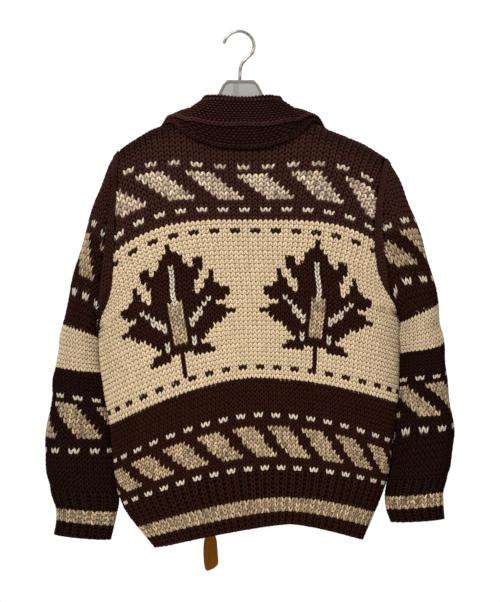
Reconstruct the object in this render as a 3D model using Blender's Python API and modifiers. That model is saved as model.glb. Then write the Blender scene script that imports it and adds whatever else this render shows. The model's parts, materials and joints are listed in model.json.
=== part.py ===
# Hand-knitted cowichan cardigan with an open zip, hung on a hanger.
# X runs across the shoulders (+X is the wearer's right), +Y is the garment's front and Z is up.
# The origin is the inside top of the hanger's hook, where a rod carries the whole thing.
# Every length in the tables is in millimetres, and every "row" is a row of knitting above the hem or cuff.
import math

import bmesh
import bpy
import numpy as np
from mathutils import Matrix, Vector

MM = 0.001

# Cloth
KNIT_WALL = 5.0          # bulky hand-spun knit
SEAM_GAP = 0.3           # between neighbouring pieces
RIB_RELIEF = 1.0         # how far a rib stands above or below the plain wall
BODY_COLUMNS = 74        # stitches across the back
FRONT_COLUMNS = 30       # stitches across one front
SLEEVE_COLUMNS = 44      # stitches round a sleeve
SEAM_ROWS = 0.05         # half a seam's gap, in rows
SEAM_STATION = 0.0006    # and in the collar's stations
HEM_STEPS = 2            # lines of points up a hem or cuff
SLEEVE_STEPS = 13        # and up a sleeve

# Rows that bound the pieces
HEM_ROWS = 12.0
UNDERARM_ROW = 53.0
LAST_TABLE_ROW = 82.0
ZIP_TOP_ROW = 66.0
BACK_NECK_ROW = 88.0
CUFF_ROWS = 12.0
CAP_ROW = 47.0           # from here up a sleeve's rows fan out to the armhole

# One line of knitting round the torso: its middle, its ends at the side seams or armholes, where along it
# the line is highest, how sharply it droops to each end and how far it dips again in the middle,
# and how far the cloth stands back at the middle and at the armhole's edge.
TORSO_COLUMNS = ("row", "mid_x", "left_x", "right_x", "top_z", "left_z", "right_z", "top_at",
                 "left_droop", "right_droop", "dip", "depth", "rim")
TORSO_ROWS = (
    (0, 33, -137, 203, -807, -849, -836, 0.30, 1.35, 1.4, 0, 50, 0),
    (12, 29, -190, 240, -717, -779, -746, 0.14, 1.8, 1.9, 0, 63, 0),
    (24, 25, -205, 251, -631, -710, -677, 0.07, 1.7, 1.9, 0, 70, 0),
    (33, 21, -211, 260, -567, -647, -611, 0.02, 1.6, 1.9, 0, 74, 0),
    (43, 19, -225, 263, -496, -568, -537, 0, 1.9, 2.1, 0, 76, 0),
    (53, 17, -230, 260, -425, -489, -463, 0, 2.4, 2.5, 0, 74, 0),
    (61, 12, -209, 230, -368, -427, -404, 0, 2.9, 3.2, 0, 70, 44),
    (69, 10, -204, 221, -311, -365, -345, 0, 3.4, 4.2, 0, 64, 47),
    (75, 8, -202, 222, -268, -306, -304, 0, 4.2, 4.6, 4, 59, 45),
    (82, 7, -198, 229, -213, -236, -252, 0, 6.0, 5.0, 9, 53, 41),
    (92, 6, -197, 243, -140, -180, -190, 0, 6.0, 5.0, 9, 47, 34),
)
TORSO = dict(zip(TORSO_COLUMNS, np.array(TORSO_ROWS, dtype=float).T))
ARMHOLE_CURVE_ROWS = 9.0     # rows in which the foot of the armhole opens to its full depth
SECTION_POWER = 2.6          # 2 is an ellipse, more is boxier
SIDE_TUCK = 1 / 6            # share of the width that turns round the side below the armhole
ARMHOLE_TUCK = 0.02
DIP_REACH = 0.6          # the dip's width, as a share of the half width

# The ridge of the shoulders, over the hanger
RIDGE_COLUMNS = ("x", "z")
RIDGE_POINTS = (
    (-235, -232), (-199, -198), (-185, -187), (-163, -173), (-140, -160), (-112, -146), (-90, -136),
    (6, -112), (102, -138), (122, -147), (156, -165), (178, -174), (200, -183), (226, -198), (243, -210),
    (270, -232),
)
RIDGE = dict(zip(RIDGE_COLUMNS, np.array(RIDGE_POINTS, dtype=float).T))
ROLL_HEIGHT = 35.0           # the cloth's round top over the shoulder
ROLL_ROWS = 7.5
ROLL_STEPS = 5
ARMHOLE_STEPS = 8            # lines of points from the underarm to the roll
SIDE_STEPS = 5               # and from the hem to the underarm
NECK_SHARES = (0.30, 0.55, 0.70, 0.81, 0.91, 1.0)      # columns of points from the middle to the side of the neck
OUTER_SHARES = (0.20, 0.39, 0.57, 0.73, 0.86, 0.95, 1.0)     # and from there to the seam
FRONT_SHARES = (0, 0.10, 0.20, 0.30, 0.41, 0.52, 0.62, 0.72, 0.81, 0.89, 0.945, 0.98, 1.0)
ZIP_STEPS = 6
SHOULDER_PITCH = 7.6         # height of a row between the last table row and the roll
NECK_SHARE = {-1: 0.50, 1: 0.42}     # where the neck ends along the shoulder, as a share of the half width

# The front edges, measured along the half width, where 1 is the side of the neck
FRONT_EDGE = {"row": np.array((0, 12, 33, 53, 66, 80, 90, 100.0)),
              "share": np.array((0.90, 0.62, 0.43, 0.29, 0.25, 0.62, 1.0, 1.0))}

# One round of a sleeve below its cap, from its outer to its inner side
SLEEVE_COLUMN_NAMES = ("row", "outer_x", "outer_z", "inner_x", "inner_z", "half_depth", "mid_y")
SLEEVE_ROWS = {
    -1: (
        (0, -304, -829, -214, -837, 31, 8),
        (4, -300, -804, -208, -813, 32, 8),
        (7, -301, -784, -203, -790, 33, 8),
        (10, -307, -767, -200, -774, 37, 8),
        (14, -315, -737, -205, -743, 41, 9),
        (20, -319, -692, -212, -693, 44, 9),
        (31, -308, -599, -224, -611, 52, 10),
        (39, -303, -551, -232, -561, 55, 9),
        (47, -291, -489, -237, -507, 58, 6),
    ),
    1: (
        (0, 338, -803, 253, -808, 31, 8),
        (4, 336, -780, 245, -786, 32, 8),
        (7, 336, -758, 243, -765, 33, 8),
        (10, 340, -743, 245, -748, 37, 8),
        (14, 347, -722, 250, -722, 41, 9),
        (20, 353, -668, 258, -648, 44, 9),
        (31, 343, -578, 266, -565, 52, 10),
        (39, 339, -527, 269, -518, 55, 9),
        (47, 330, -461, 270, -479, 58, 6),
    ),
}
SLEEVES = {
    side: dict(zip(SLEEVE_COLUMN_NAMES, np.array(rows, dtype=float).T))
    for side, rows in SLEEVE_ROWS.items()
}
CAP_MIDDLE = 70.0            # rows of the cap's edge: half way, how much more at the shoulder and less at the sides
CAP_SWING = 10.0
CAP_DENT = 4.0
# How a sleeve leaves the armhole, from the shoulder (share 0) round to the underarm (share 1)
LEAVE = {"share": np.array((0, 0.25, 0.5, 0.75, 1.0)),
         "out": np.array((0.70, 0.85, 0.90, 0.85, 0.60)),
         "down": np.array((0.70, 0.52, 0.42, 0.50, 0.80))}
LEAVE_REACH = 0.38           # how strongly that direction is kept, as a share of the cap's length
HANG_REACH = 0.9

# The shawl collar: its roll and its lower edge, measured from its foot on the neck edge.
# Station 0 is the middle of the back, NECK_STATION the side of the neck and 1 the foot of the front's V.
NECK_STATION = 0.45
COLLAR_COLUMNS = ("station", "roll_out", "roll_up", "edge_out", "edge_up", "belly")
COLLAR_ROWS = (
    (0.0, -5, 57, 9, -20, 4),
    (0.2, -7, 57, 13, -18, 4),
    (0.34, -24, 40, 18, -15, 2),
    (0.45, -40, 22, 15, -14, 0),
    (0.56, -22, 19, 46, 1, 2),
    (0.78, -10, 14, 62, 5, 3),
    (0.92, -7, 12, 34, 5, 2),
    (1.0, -6, 11, 10, 5, 0),
)
COLLAR = dict(zip(COLLAR_COLUMNS, np.array(COLLAR_ROWS, dtype=float).T))
COLLAR_ROLL_RADIUS = 6.0
ROLL_SHARE = 0.45                    # and no more than this share of the roll's height
STAND_BEND = 0.35                    # how far the stand follows the panel, as a share of its height
COLLAR_GAP = 0.9
COLLAR_REST = KNIT_WALL / 2 + 2.6    # the middle of the lower layer lies at least this far off the cloth
REST_REACH = 14.0                    # and is moved out where the cloth lies this near sideways
COLLAR_LAYER = KNIT_WALL + 1.6       # the upper layer stands this far off the lower one
STAND_STEPS = 3
FALL_STEPS = 5
ROLL_ANGLES = (180, 135, 90, 45)
FALL_START = 4                       # the point of the lower layer's line where the upper one begins
# and the share of the lower layer's fall that it covers
FALL_END = {"station": np.array((0, 0.3, 0.45, 0.55)), "share": np.array((0.40, 0.51, 0.75, 0.73))}
FALL_STATION = 0.57                  # how far round the neck the upper layer reaches
LAPEL_STATION = 0.51                 # where the lapels are joined on
SHOULDER_STATIONS = (0.48, LAPEL_STATION, 0.54, FALL_STATION)
LAPEL_STEPS = 8

# Zip
TAPE_THICK = 1.2
TAPE_OUT = 8.0               # the tape shows this far past the knitted edge
TAPE_IN = 8.0                # and is sewn this far behind it
TAPE_GAP = 0.8
TAPE_STEPS = 18
TAPE_CROWD = 1.3             # more than 1 crowds the tape's points at its foot, where it curves most
TAPE_FOOT_ROW = 0.15
TAPE_TOP_ROW = 65.5
SLIDER_SIZE = (10.0, 8.0, 16.0)
SLIDER_POST = 2.0
SLIDER_ROW = 2.8
BOX_SIZE = (6.0, 4.6, 8.0)
BOX_SLOT = 3.0               # the slot's depth
PIN_SIZE = (4.4, 4.0, 11.0)
PIN_SLOT = 2.4
METAL_ROUND = 0.6            # rounding of the small metal parts' edges
CLIP_ROW = 0.65              # the middle of the box
PIN_ROW = 0.75               # and of the pin
SLOT_GAP = 0.45
CLIP_GAP = 0.8               # between the tape's edge and the floor of the box's or the pin's slot
LUG_SIZE = (2.4, 6.0, 8.0)
LUG_HOLE = 3.4
LUG_HOLE_OUT = 3.2           # the hole's height over the slider's face

# Pull: a wire bail and a leather tab folded round its lower bar
BAIL_WIRE = 1.8
BAIL_WIDTH = 13.0
BAIL_LENGTH = 20.0
BAIL_CORNER = 1.8
CORNER_STEPS = 3             # facets round each of its corners
TAB_THICK = 2.6
TAB_ROUND = 0.5
TAB_LOOP = 5.8
TAB_BORE = 2.8
TAB_LOOP_WIDTH = 7.0
TAB_OUTLINE = (              # x and z from the middle of the loop
    (-3.7, 0), (-4.6, -3.5), (-9.8, -8), (-11.8, -16), (-12.8, -27), (-12.8, -39), (-12.0, -51),
    (-10.6, -60), (-9.0, -64), (-5.8, -66), (-2.5, -65), (5.2, -61.5), (9.8, -57.4), (12.1, -53.5), (12.1, -47),
    (10.9, -30), (9.8, -16), (7.6, -8), (4.4, -3.5), (3.7, 0),
)

# Hanger
HOOK_WIRE = 5.0
HOOK_PATH = (                # x and z of the wire's middle, from its tip to where it enters the hanger
    (-25, -18), (-21.5, -10), (-13.5, -2), (0, 2.5), (13, -1.6), (22, -11), (24.8, -23), (22, -33.5),
    (13.5, -42), (6, -50), (2.4, -59.5), (1.5, -72), (1.5, -88),
)
HOOK_STEPS = 3
SOCKET_BORE = 5.7
SOCKET_DEPTH = 11.0
HANGER_THICK = 14.0
HANGER_EDGE = 2.5
HANGER_HALF = 188.0
HANGER_BAR = 24.0
HANGER_CLEAR = 2.3           # under the cloth
HANGER_DIP = 4.0             # more of it under the collar's foot
HANGER_MID_X = 2.5
ARM_START = 76.0             # where an arm begins, from the middle
ARM_STEPS = 8
ARM_TIP = 40.0               # length over which an arm narrows to its tip
DIP_END = 112.0
DIP_FADE = 8.0
CROTCH_OUT = 40.0            # the inner corner between the two arms' lower edges
CROTCH_DROP = 4.0
HANGER_NECK = ((49, -146), (45, -120), (38, -104), (29, -86), (22, -79))   # the neck's edge, from the arms up
RECESS_INSET = 4.5
RECESS_DEPTH = 1.5
RECESS_FOOT = -132.0
RECESS_SPLAY = 0.55          # how much wider the recess gets downwards


def smooth(at, knots, values):
    """Cubic curve through a table's values, with the slope at each knot taken from its neighbours."""
    at = np.asarray(at, dtype=float)
    slopes = np.gradient(values, knots)
    span = np.clip(np.searchsorted(knots, at, side="right") - 1, 0, len(knots) - 2)
    width = knots[span + 1] - knots[span]
    t = np.clip((at - knots[span]) / width, 0.0, 1.0)
    start = (1 + 2 * t) * (1 - t) ** 2
    end = t * t * (3 - 2 * t)
    start_slope = t * (1 - t) ** 2
    end_slope = t * t * (t - 1)
    curve = start * values[span] + end * values[span + 1]
    return curve + width * (start_slope * slopes[span] + end_slope * slopes[span + 1])


def unit(vectors):
    return vectors / np.maximum(np.linalg.norm(vectors, axis=-1, keepdims=True), 1e-9)


# ---- the torso's surface ----

def ridge_z(x):
    return smooth(x, RIDGE["x"], RIDGE["z"])


def torso_flat(share, row):
    """x, z and depth of the torso, before its top rolls over the shoulder.

    share runs from -1 at the left seam to 1 at the right one."""
    column = {name: smooth(row, TORSO["row"], TORSO[name]) for name in TORSO_COLUMNS[1:]}
    left = share < 0
    reach = np.where(left, column["mid_x"] - column["left_x"], column["right_x"] - column["mid_x"])
    opened = np.clip((row - UNDERARM_ROW) / ARMHOLE_CURVE_ROWS, 0.0, 1.0)
    tuck = SIDE_TUCK + (ARMHOLE_TUCK - SIDE_TUCK) * opened
    size = np.abs(share)
    out = np.clip(size + tuck * (size - size ** 7), 0.0, 1.0)
    x = column["mid_x"] + np.sign(share) * reach * out

    signed = np.sign(share) * out - column["top_at"]
    to_left = signed < 0
    part = np.clip(np.abs(signed) / np.where(to_left, 1.0 + column["top_at"], 1.0 - column["top_at"]), 0.0, 1.0)
    fall = np.where(to_left, column["left_z"], column["right_z"]) - column["top_z"]
    droop = np.where(to_left, column["left_droop"], column["right_droop"])
    dip = column["dip"] * np.clip(1.0 - (out / DIP_REACH) ** 2, 0.0, 1.0) ** 2
    z = column["top_z"] + fall * part ** droop - dip

    open_row = np.maximum(row, UNDERARM_ROW + ARMHOLE_CURVE_ROWS)
    rim = smooth(open_row, TORSO["row"], TORSO["rim"]) * np.sqrt(1.0 - (1.0 - opened) ** 2)
    corner = 0.5 + 0.5 * opened
    depth = rim + (column["depth"] - rim) * (1.0 - out ** SECTION_POWER) ** corner
    return x, z, depth


def roll_start(share):
    """Row at which the cloth begins to roll over the shoulder."""
    x, z, _ = torso_flat(share, np.full_like(share, LAST_TABLE_ROW))
    return LAST_TABLE_ROW + np.maximum(ridge_z(x) - ROLL_HEIGHT - z, 1.0) / SHOULDER_PITCH


def shoulder_row(share):
    """Row at which the cloth reaches the top of the shoulder."""
    return roll_start(share) + ROLL_ROWS


def torso(share, row, face):
    """Point of the torso's outer surface; face is -1 for the back and 1 for the front."""
    share, row = np.broadcast_arrays(np.asarray(share, dtype=float), np.asarray(row, dtype=float))
    x, z, depth = torso_flat(share, row)
    _, last_z, _ = torso_flat(share, np.full_like(share, LAST_TABLE_ROW))
    start = roll_start(share)
    z = np.where(row > LAST_TABLE_ROW, last_z + (row - LAST_TABLE_ROW) * SHOULDER_PITCH, z)
    turn = np.clip((row - start) / ROLL_ROWS, 0.0, 1.0) * math.pi / 2
    z = np.where(row > start, ridge_z(x) - ROLL_HEIGHT * (1.0 - np.sin(turn)), z)
    y = face * (depth * np.cos(turn) + SEAM_GAP / 2)
    return np.stack((x, y, z), axis=-1)


def neck_row(share):
    """Row of the back's neck edge, and of its shoulder edge beyond the neck."""
    side = np.where(share < 0, NECK_SHARE[-1], NECK_SHARE[1])
    corner = shoulder_row(np.sign(share) * side)
    across = np.clip(np.abs(share) / side, 0.0, 1.0)
    neck = BACK_NECK_ROW + (corner - BACK_NECK_ROW) * across ** 3
    return np.where(np.abs(share) < side, neck, shoulder_row(share))


def front_edge_share(row, side):
    """Share of the half width at which a front's zip edge, and above it the V of its neck, lies."""
    return NECK_SHARE[side] * smooth(row, FRONT_EDGE["row"], FRONT_EDGE["share"])


def front(across, row, side):
    """Point of one front; across is 0 at the zip and 1 at the side seam or armhole."""
    edge = front_edge_share(row, side)
    return torso(side * (edge + (1.0 - edge) * across), row, 1)


def torso_normal(share, row, face):
    """Unit normal of the torso's outer surface."""
    step_share, step_row = 0.004, 0.2
    across = torso(share + step_share, row, face) - torso(share - step_share, row, face)
    up = torso(share, row + step_row, face) - torso(share, row - step_row, face)
    return unit(np.cross(across, up)) * -face


# ---- the sleeves' surface ----

def armhole(round_share, side):
    """Point of the armhole's edge; round_share runs -1..1, 0 at the shoulder, back negative, 1 underarm."""
    top = shoulder_row(np.array(float(side)))
    row = top - (top - UNDERARM_ROW) * np.abs(round_share)
    back = torso(np.full_like(row, side), row, -1)
    other = torso(np.full_like(row, side), row, 1)
    point = np.where((round_share < 0)[..., None], back, other)
    point[..., 0] += side * SEAM_GAP
    point[..., 1] = np.where(np.abs(round_share) < 1e-6, 0.0, point[..., 1])
    return point


def armhole_normal(points, side):
    """Unit normals of the armhole's edge in its own plane, away from its middle."""
    ends = torso(np.array([side, side]), np.array([UNDERARM_ROW, shoulder_row(np.array(float(side)))]), -1)
    away = points - np.array((0.0, 0.0, ends[:, 2].mean()))
    away[..., 0] = 0.0
    return unit(away)


def sleeve_round(round_share, row, side):
    """Point of a sleeve below its cap: an ellipse between its outer and inner sides."""
    table = SLEEVES[side]
    column = {name: smooth(row, table["row"], table[name]) for name in SLEEVE_COLUMN_NAMES[1:]}
    angle = round_share * math.pi
    lean = (1.0 + np.cos(angle)) / 2
    x = column["inner_x"] + (column["outer_x"] - column["inner_x"]) * lean
    z = column["inner_z"] + (column["outer_z"] - column["inner_z"]) * lean
    y = column["mid_y"] + column["half_depth"] * np.sin(angle)
    return np.stack((x, y, z), axis=-1)


def cap_rows(round_share):
    """Row at which the sleeve meets the armhole."""
    angle = round_share * math.pi
    return CAP_MIDDLE + CAP_SWING * np.cos(angle) - CAP_DENT * np.abs(np.sin(angle))


def sleeve(round_share, row, side):
    """Point of a sleeve's outer surface, from its cuff up to the armhole."""
    round_share, row = np.broadcast_arrays(np.asarray(round_share, dtype=float), np.asarray(row, dtype=float))
    low = sleeve_round(round_share, np.minimum(row, CAP_ROW), side)
    base = sleeve_round(round_share, np.full_like(row, CAP_ROW), side)
    below = sleeve_round(round_share, np.full_like(row, CAP_ROW - 3.0), side)
    top = armhole(round_share, side)
    t = np.clip((row - CAP_ROW) / (cap_rows(round_share) - CAP_ROW), 0.0, 1.0)[..., None]
    length = np.linalg.norm(top - base, axis=-1, keepdims=True)
    size = np.abs(round_share)
    out = np.interp(size, LEAVE["share"], LEAVE["out"])
    down = np.interp(size, LEAVE["share"], LEAVE["down"])
    away = unit(np.stack((side * out, np.zeros_like(out), -down), axis=-1))
    rise = unit(base - below) * length * HANG_REACH
    arrive = -away * length * LEAVE_REACH
    cap = ((1 + 2 * t) * (1 - t) ** 2 * base + t * t * (3 - 2 * t) * top
           + t * (1 - t) ** 2 * rise + t * t * (t - 1) * arrive)
    return np.where((row > CAP_ROW)[..., None], cap, low)


def sleeve_normal(round_share, row, side):
    """Unit normal of a sleeve's outer surface."""
    def wrapped(share):
        return (share + 1.0) % 2.0 - 1.0
    step_share, step_row = 0.01, 0.2
    after = sleeve(wrapped(round_share + step_share), row, side)
    across = after - sleeve(wrapped(round_share - step_share), row, side)
    up = sleeve(round_share, row + step_row, side) - sleeve(round_share, row - step_row, side)
    return unit(np.cross(across, up)) * side


# ---- the collar's surface ----

def neck_edge(station):
    """Point and surface normal of the neck edge; station runs from -1 at the foot of the left V to 1."""
    station = np.asarray(station, dtype=float)
    size = np.abs(station)
    side_share = np.where(station < 0, NECK_SHARE[-1], NECK_SHARE[1])
    on_back = size <= NECK_STATION
    back_share = np.sign(station) * side_share * np.clip(size / NECK_STATION, 0.0, 1.0)
    corner = shoulder_row(np.sign(station) * side_share)
    along = np.clip((size - NECK_STATION) / (1.0 - NECK_STATION), 0.0, 1.0)
    front_row = corner + (ZIP_TOP_ROW - corner) * along
    front_share = np.where(station < 0, -front_edge_share(front_row, -1), front_edge_share(front_row, 1))
    back_row = neck_row(back_share)
    point = np.where(on_back[..., None], torso(back_share, back_row, -1), torso(front_share, front_row, 1))
    normal = np.where(on_back[..., None], torso_normal(back_share, back_row - 0.3, -1),
                      torso_normal(front_share, front_row - 0.3, 1))
    return point, normal


def collar_frame(station):
    """Directions out from the neck and up from its edge, at a station."""
    size = np.abs(station)
    sign = np.sign(station)
    turn = np.clip(size / NECK_STATION, 0.0, 1.0) * math.pi / 2
    on_back = np.stack((sign * np.sin(turn), -np.cos(turn), np.zeros_like(turn)), axis=-1)
    ease = np.clip((size - NECK_STATION) / 0.2, 0.0, 1.0)
    ease = (ease * ease * (3 - 2 * ease))[..., None]
    on_front = np.stack((sign * 0.93, np.zeros_like(sign), np.full_like(sign, -0.36)), axis=-1)
    up = np.array((0.0, 0.0, 1.0)) * (1 - ease) + np.array((0.0, 0.97, 0.25)) * ease
    return unit(on_back * (1 - ease) + on_front * ease), unit(up)


def pair(first, second):
    return np.stack((first, second), axis=-1)


def collar_profile(station):
    """Middle line of the collar's wall at each station, in the local frame.

    The line runs from the foot up the stand, over the roll and down the fall to the edge."""
    column = {name: smooth(np.abs(station), COLLAR["station"], COLLAR[name]) for name in COLLAR_COLUMNS[1:]}
    out, up = collar_frame(station)
    _, normal = neck_edge(station)
    panel = unit(pair((normal * out).sum(axis=-1), (normal * up).sum(axis=-1)))
    rise = pair(-panel[:, 1], panel[:, 0])                   # on along the panel, across its neck edge
    foot = -panel * KNIT_WALL / 2 + rise * COLLAR_GAP
    radius = np.minimum(COLLAR_ROLL_RADIUS, column["roll_up"] * ROLL_SHARE)
    roll = pair(column["roll_out"], column["roll_up"] - radius)
    first = roll - pair(radius, 0 * radius)
    last = pair(column["edge_out"], column["edge_up"])
    reach = np.linalg.norm(first - foot, axis=-1, keepdims=True)
    bend = foot + rise * reach * STAND_BEND
    line = []
    for t in np.linspace(0.0, 1.0, STAND_STEPS + 1)[:-1]:
        line.append((1 - t) ** 2 * foot + 2 * t * (1 - t) * bend + t * t * first)
    for angle in np.radians(ROLL_ANGLES):
        line.append(roll + pair(radius * math.cos(angle), radius * math.sin(angle)))
    begin = roll + pair(radius, 0 * radius)
    for t in np.linspace(0.0, 1.0, FALL_STEPS):
        belly = column["belly"] * math.sin(t * math.pi)
        line.append(begin + (last - begin) * t + pair(belly * 0.6, belly * 0.8))
    return np.stack(line, axis=1)


def cloth_samples():
    """Points and normals of the panels round the neck, for the collar to rest on."""
    points, normals = [], []
    share = np.linspace(-0.9, 0.9, 91)[None, :]
    rise = np.linspace(0.0, 1.0, 70)[:, None]
    row = UNDERARM_ROW + (shoulder_row(share) - UNDERARM_ROW) * rise
    side = np.where(share < 0, -1, 1)
    for face in (-1, 1):
        if face < 0:
            kept = row <= neck_row(share)
        else:
            edge = np.where(side < 0, front_edge_share(row, -1), front_edge_share(row, 1))
            kept = np.abs(share) >= edge
        points.append(torso(share, row, face)[kept])
        normals.append(torso_normal(share, row - 0.3, face)[kept])
    return np.concatenate(points), np.concatenate(normals)


def rest(points):
    """Move points out until they clear the cloth under them."""
    near = np.linalg.norm(points[:, None, :] - CLOTH[0][None, :, :], axis=-1).argmin(axis=1)
    below, normal = CLOTH[0][near], CLOTH[1][near]
    height = ((points - below) * normal).sum(axis=-1)
    sideways = np.linalg.norm(points - below - normal * height[:, None], axis=-1)
    short = np.where(sideways < REST_REACH, np.maximum(COLLAR_REST - height, 0.0), 0.0)
    return points + normal * short[:, None]


def collar_points(station):
    """Middle of the lower layer's wall: one line of points from foot to edge at each station."""
    profile = collar_profile(station)
    foot, _ = neck_edge(station)
    out, up = collar_frame(station)
    points = foot[:, None, :] + profile[..., :1] * out[:, None, :] + profile[..., 1:] * up[:, None, :]
    fall = points[:, -FALL_STEPS:].reshape(-1, 3)
    points[:, -FALL_STEPS:] = rest(fall).reshape(len(station), FALL_STEPS, 3)
    return points


def collar_surface(station):
    step = 0.004
    points = collar_points(station)
    along = collar_points(station + step) - collar_points(station - step)
    normals = unit(np.cross(np.gradient(points, axis=1), along))
    normals[:, 0] = -neck_edge(station)[1]
    return points, normals


CLOTH = cloth_samples()


# ---- solids ----

def finish(name, mesh_data, material):
    """Make an object of a bmesh, with its faces pointing out and smooth shading."""
    bmesh.ops.recalc_face_normals(mesh_data, faces=mesh_data.faces)
    mesh = bpy.data.meshes.new(name)
    mesh_data.to_mesh(mesh)
    mesh_data.free()
    mesh.shade_smooth()
    mesh.set_sharp_from_angle(angle=math.radians(40))
    thing = bpy.data.objects.new(name, mesh)
    mesh.materials.append(material)
    PARTS.objects.link(thing)
    return thing


def wall(name, outer, inner, material, ring=False):
    """Closed solid between an outer and an inner grid of points; a ring joins its last column to its first."""
    rows, columns = outer.shape[:2]
    data = bmesh.new()
    grids = []
    for grid in (outer, inner):
        grids.append([[data.verts.new(point * MM) for point in line] for line in grid])
    steps = columns if ring else columns - 1

    def quad(*corners):
        data.faces.new(corners)

    for j in range(rows - 1):
        for i in range(steps):
            k = (i + 1) % columns
            for grid in grids:
                quad(grid[j][i], grid[j][k], grid[j + 1][k], grid[j + 1][i])
    for j in (0, rows - 1):
        for i in range(steps):
            k = (i + 1) % columns
            quad(grids[0][j][i], grids[0][j][k], grids[1][j][k], grids[1][j][i])
    if not ring:
        for i in (0, columns - 1):
            for j in range(rows - 1):
                quad(grids[0][j][i], grids[0][j + 1][i], grids[1][j + 1][i], grids[1][j][i])
    return finish(name, data, material)


def flatten_seam(normals, where, axis):
    """Keep the wall's edge in the plane of its seam, so that neighbours stay parallel."""
    chosen = normals[where]
    chosen[..., axis] = 0.0
    normals[where] = unit(chosen)


def rib_relief(columns, rows):
    """Alternate knit and purl columns, as heights over the plain wall."""
    heights = np.where(np.arange(columns) % 2 == 0, RIB_RELIEF, -RIB_RELIEF)
    return np.broadcast_to(heights, (rows, columns))[..., None]


def even(low, high, steps):
    """Evenly spaced values from low to high, without low itself."""
    return low + (high - low) * np.arange(1, steps + 1)[:, None] / steps


def panel_rows(low, top):
    """Lines of points up a panel: to the underarm, to the roll over the shoulder and over that."""
    under = np.full_like(top, UNDERARM_ROW)
    roll = top - ROLL_ROWS
    return np.concatenate((np.full_like(top, low)[None, :], even(low, under, SIDE_STEPS),
                           even(under, roll, ARMHOLE_STEPS), even(roll, top, ROLL_STEPS)))


def stations():
    """Stations of the collar's points: round the back of the neck and down both fronts."""
    half = NECK_STATION * np.array(NECK_SHARES)
    back = np.concatenate((-half[::-1], [0.0], half))
    down = np.concatenate((SHOULDER_STATIONS, even(FALL_STATION, 1.0, LAPEL_STEPS)[:, 0]))
    return back, down


def edge_rows(low, side):
    """Lines of points up a front's edge: along the zip, then at the collar's stations."""
    corner = float(shoulder_row(np.array(side * NECK_SHARE[side])))
    _, down = stations()
    along = (down[::-1] - NECK_STATION) / (1.0 - NECK_STATION)
    neck = corner + (ZIP_TOP_ROW - corner) * along
    zipped = np.linspace(low, ZIP_TOP_ROW, ZIP_STEPS + 1)
    return np.concatenate((zipped, neck[1:], [corner]))


def back_shares():
    """Columns of points across the back, with some at the sides of the neck."""
    sides = []
    for side in (-1, 1):
        neck = NECK_SHARE[side]
        outer = neck + (1.0 - neck) * np.array(OUTER_SHARES)
        sides.append(np.concatenate((neck * np.array(NECK_SHARES), outer)))
    return np.concatenate((-sides[0][::-1], [0.0], sides[1]))


def torso_wall(name, material, share, row, face, ribbed):
    """Wall of one panel of the torso, with its edges square to their seams."""
    points = torso(share, row, face)
    normals = torso_normal(share, row, face)
    for side in (-1, 1):
        edge = np.abs(share - side) < 0.0001
        away = armhole_normal(points, side)
        level = np.array((side, 0.0, 0.0))
        normals[edge] = np.where((row < UNDERARM_ROW - 0.5)[edge][:, None], level, away[edge])
        corner = edge & (np.abs(row - UNDERARM_ROW) < 0.5)
        normals[corner] = unit(away[corner] + level)
    if not ribbed:
        neck = np.where(share < 0, NECK_SHARE[-1], NECK_SHARE[1])
        top = np.zeros(row.shape, dtype=bool)
        top[-1] = True
        flatten_seam(normals, top & (np.abs(share) >= neck - 0.001), 1)
    relief = rib_relief(row.shape[1], row.shape[0]) if ribbed else 0.0
    return wall(name, points + normals * relief, points - normals * KNIT_WALL, material)


def hem_rows(count):
    return np.broadcast_to(np.linspace(0.0, HEM_ROWS - SEAM_ROWS, HEM_STEPS + 1)[:, None], (HEM_STEPS + 1, count))


def make_back(material, rib):
    share = np.linspace(-1.0, 1.0, BODY_COLUMNS + 1)
    row = hem_rows(len(share))
    torso_wall("hem_back", rib, np.broadcast_to(share, row.shape), row, -1, True)
    share = back_shares()
    row = panel_rows(HEM_ROWS + SEAM_ROWS, neck_row(share))
    torso_wall("back", material, np.broadcast_to(share, row.shape), row, -1, False)


def make_front(word, side, material, rib):
    across = np.linspace(0.0, 1.0, FRONT_COLUMNS + 1)
    row = hem_rows(len(across))
    edge = front_edge_share(row, side)
    torso_wall("hem_front_" + word, rib, side * (edge + (1.0 - edge) * across), row, 1, True)

    low = HEM_ROWS + SEAM_ROWS
    across = np.array(FRONT_SHARES)
    neck = NECK_SHARE[side]
    top = shoulder_row(side * (neck + (1.0 - neck) * across))
    at_zip = (edge_rows(low, side) - low) / (top[0] - low)
    at_side = (panel_rows(low, top)[:, -1] - low) / (top[-1] - low)
    part = at_zip[:, None] + (at_side - at_zip)[:, None] * across
    row = low + (top - low) * part
    edge = front_edge_share(row, side)
    torso_wall("front_" + word, material, side * (edge + (1.0 - edge) * across), row, 1, False)


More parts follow.
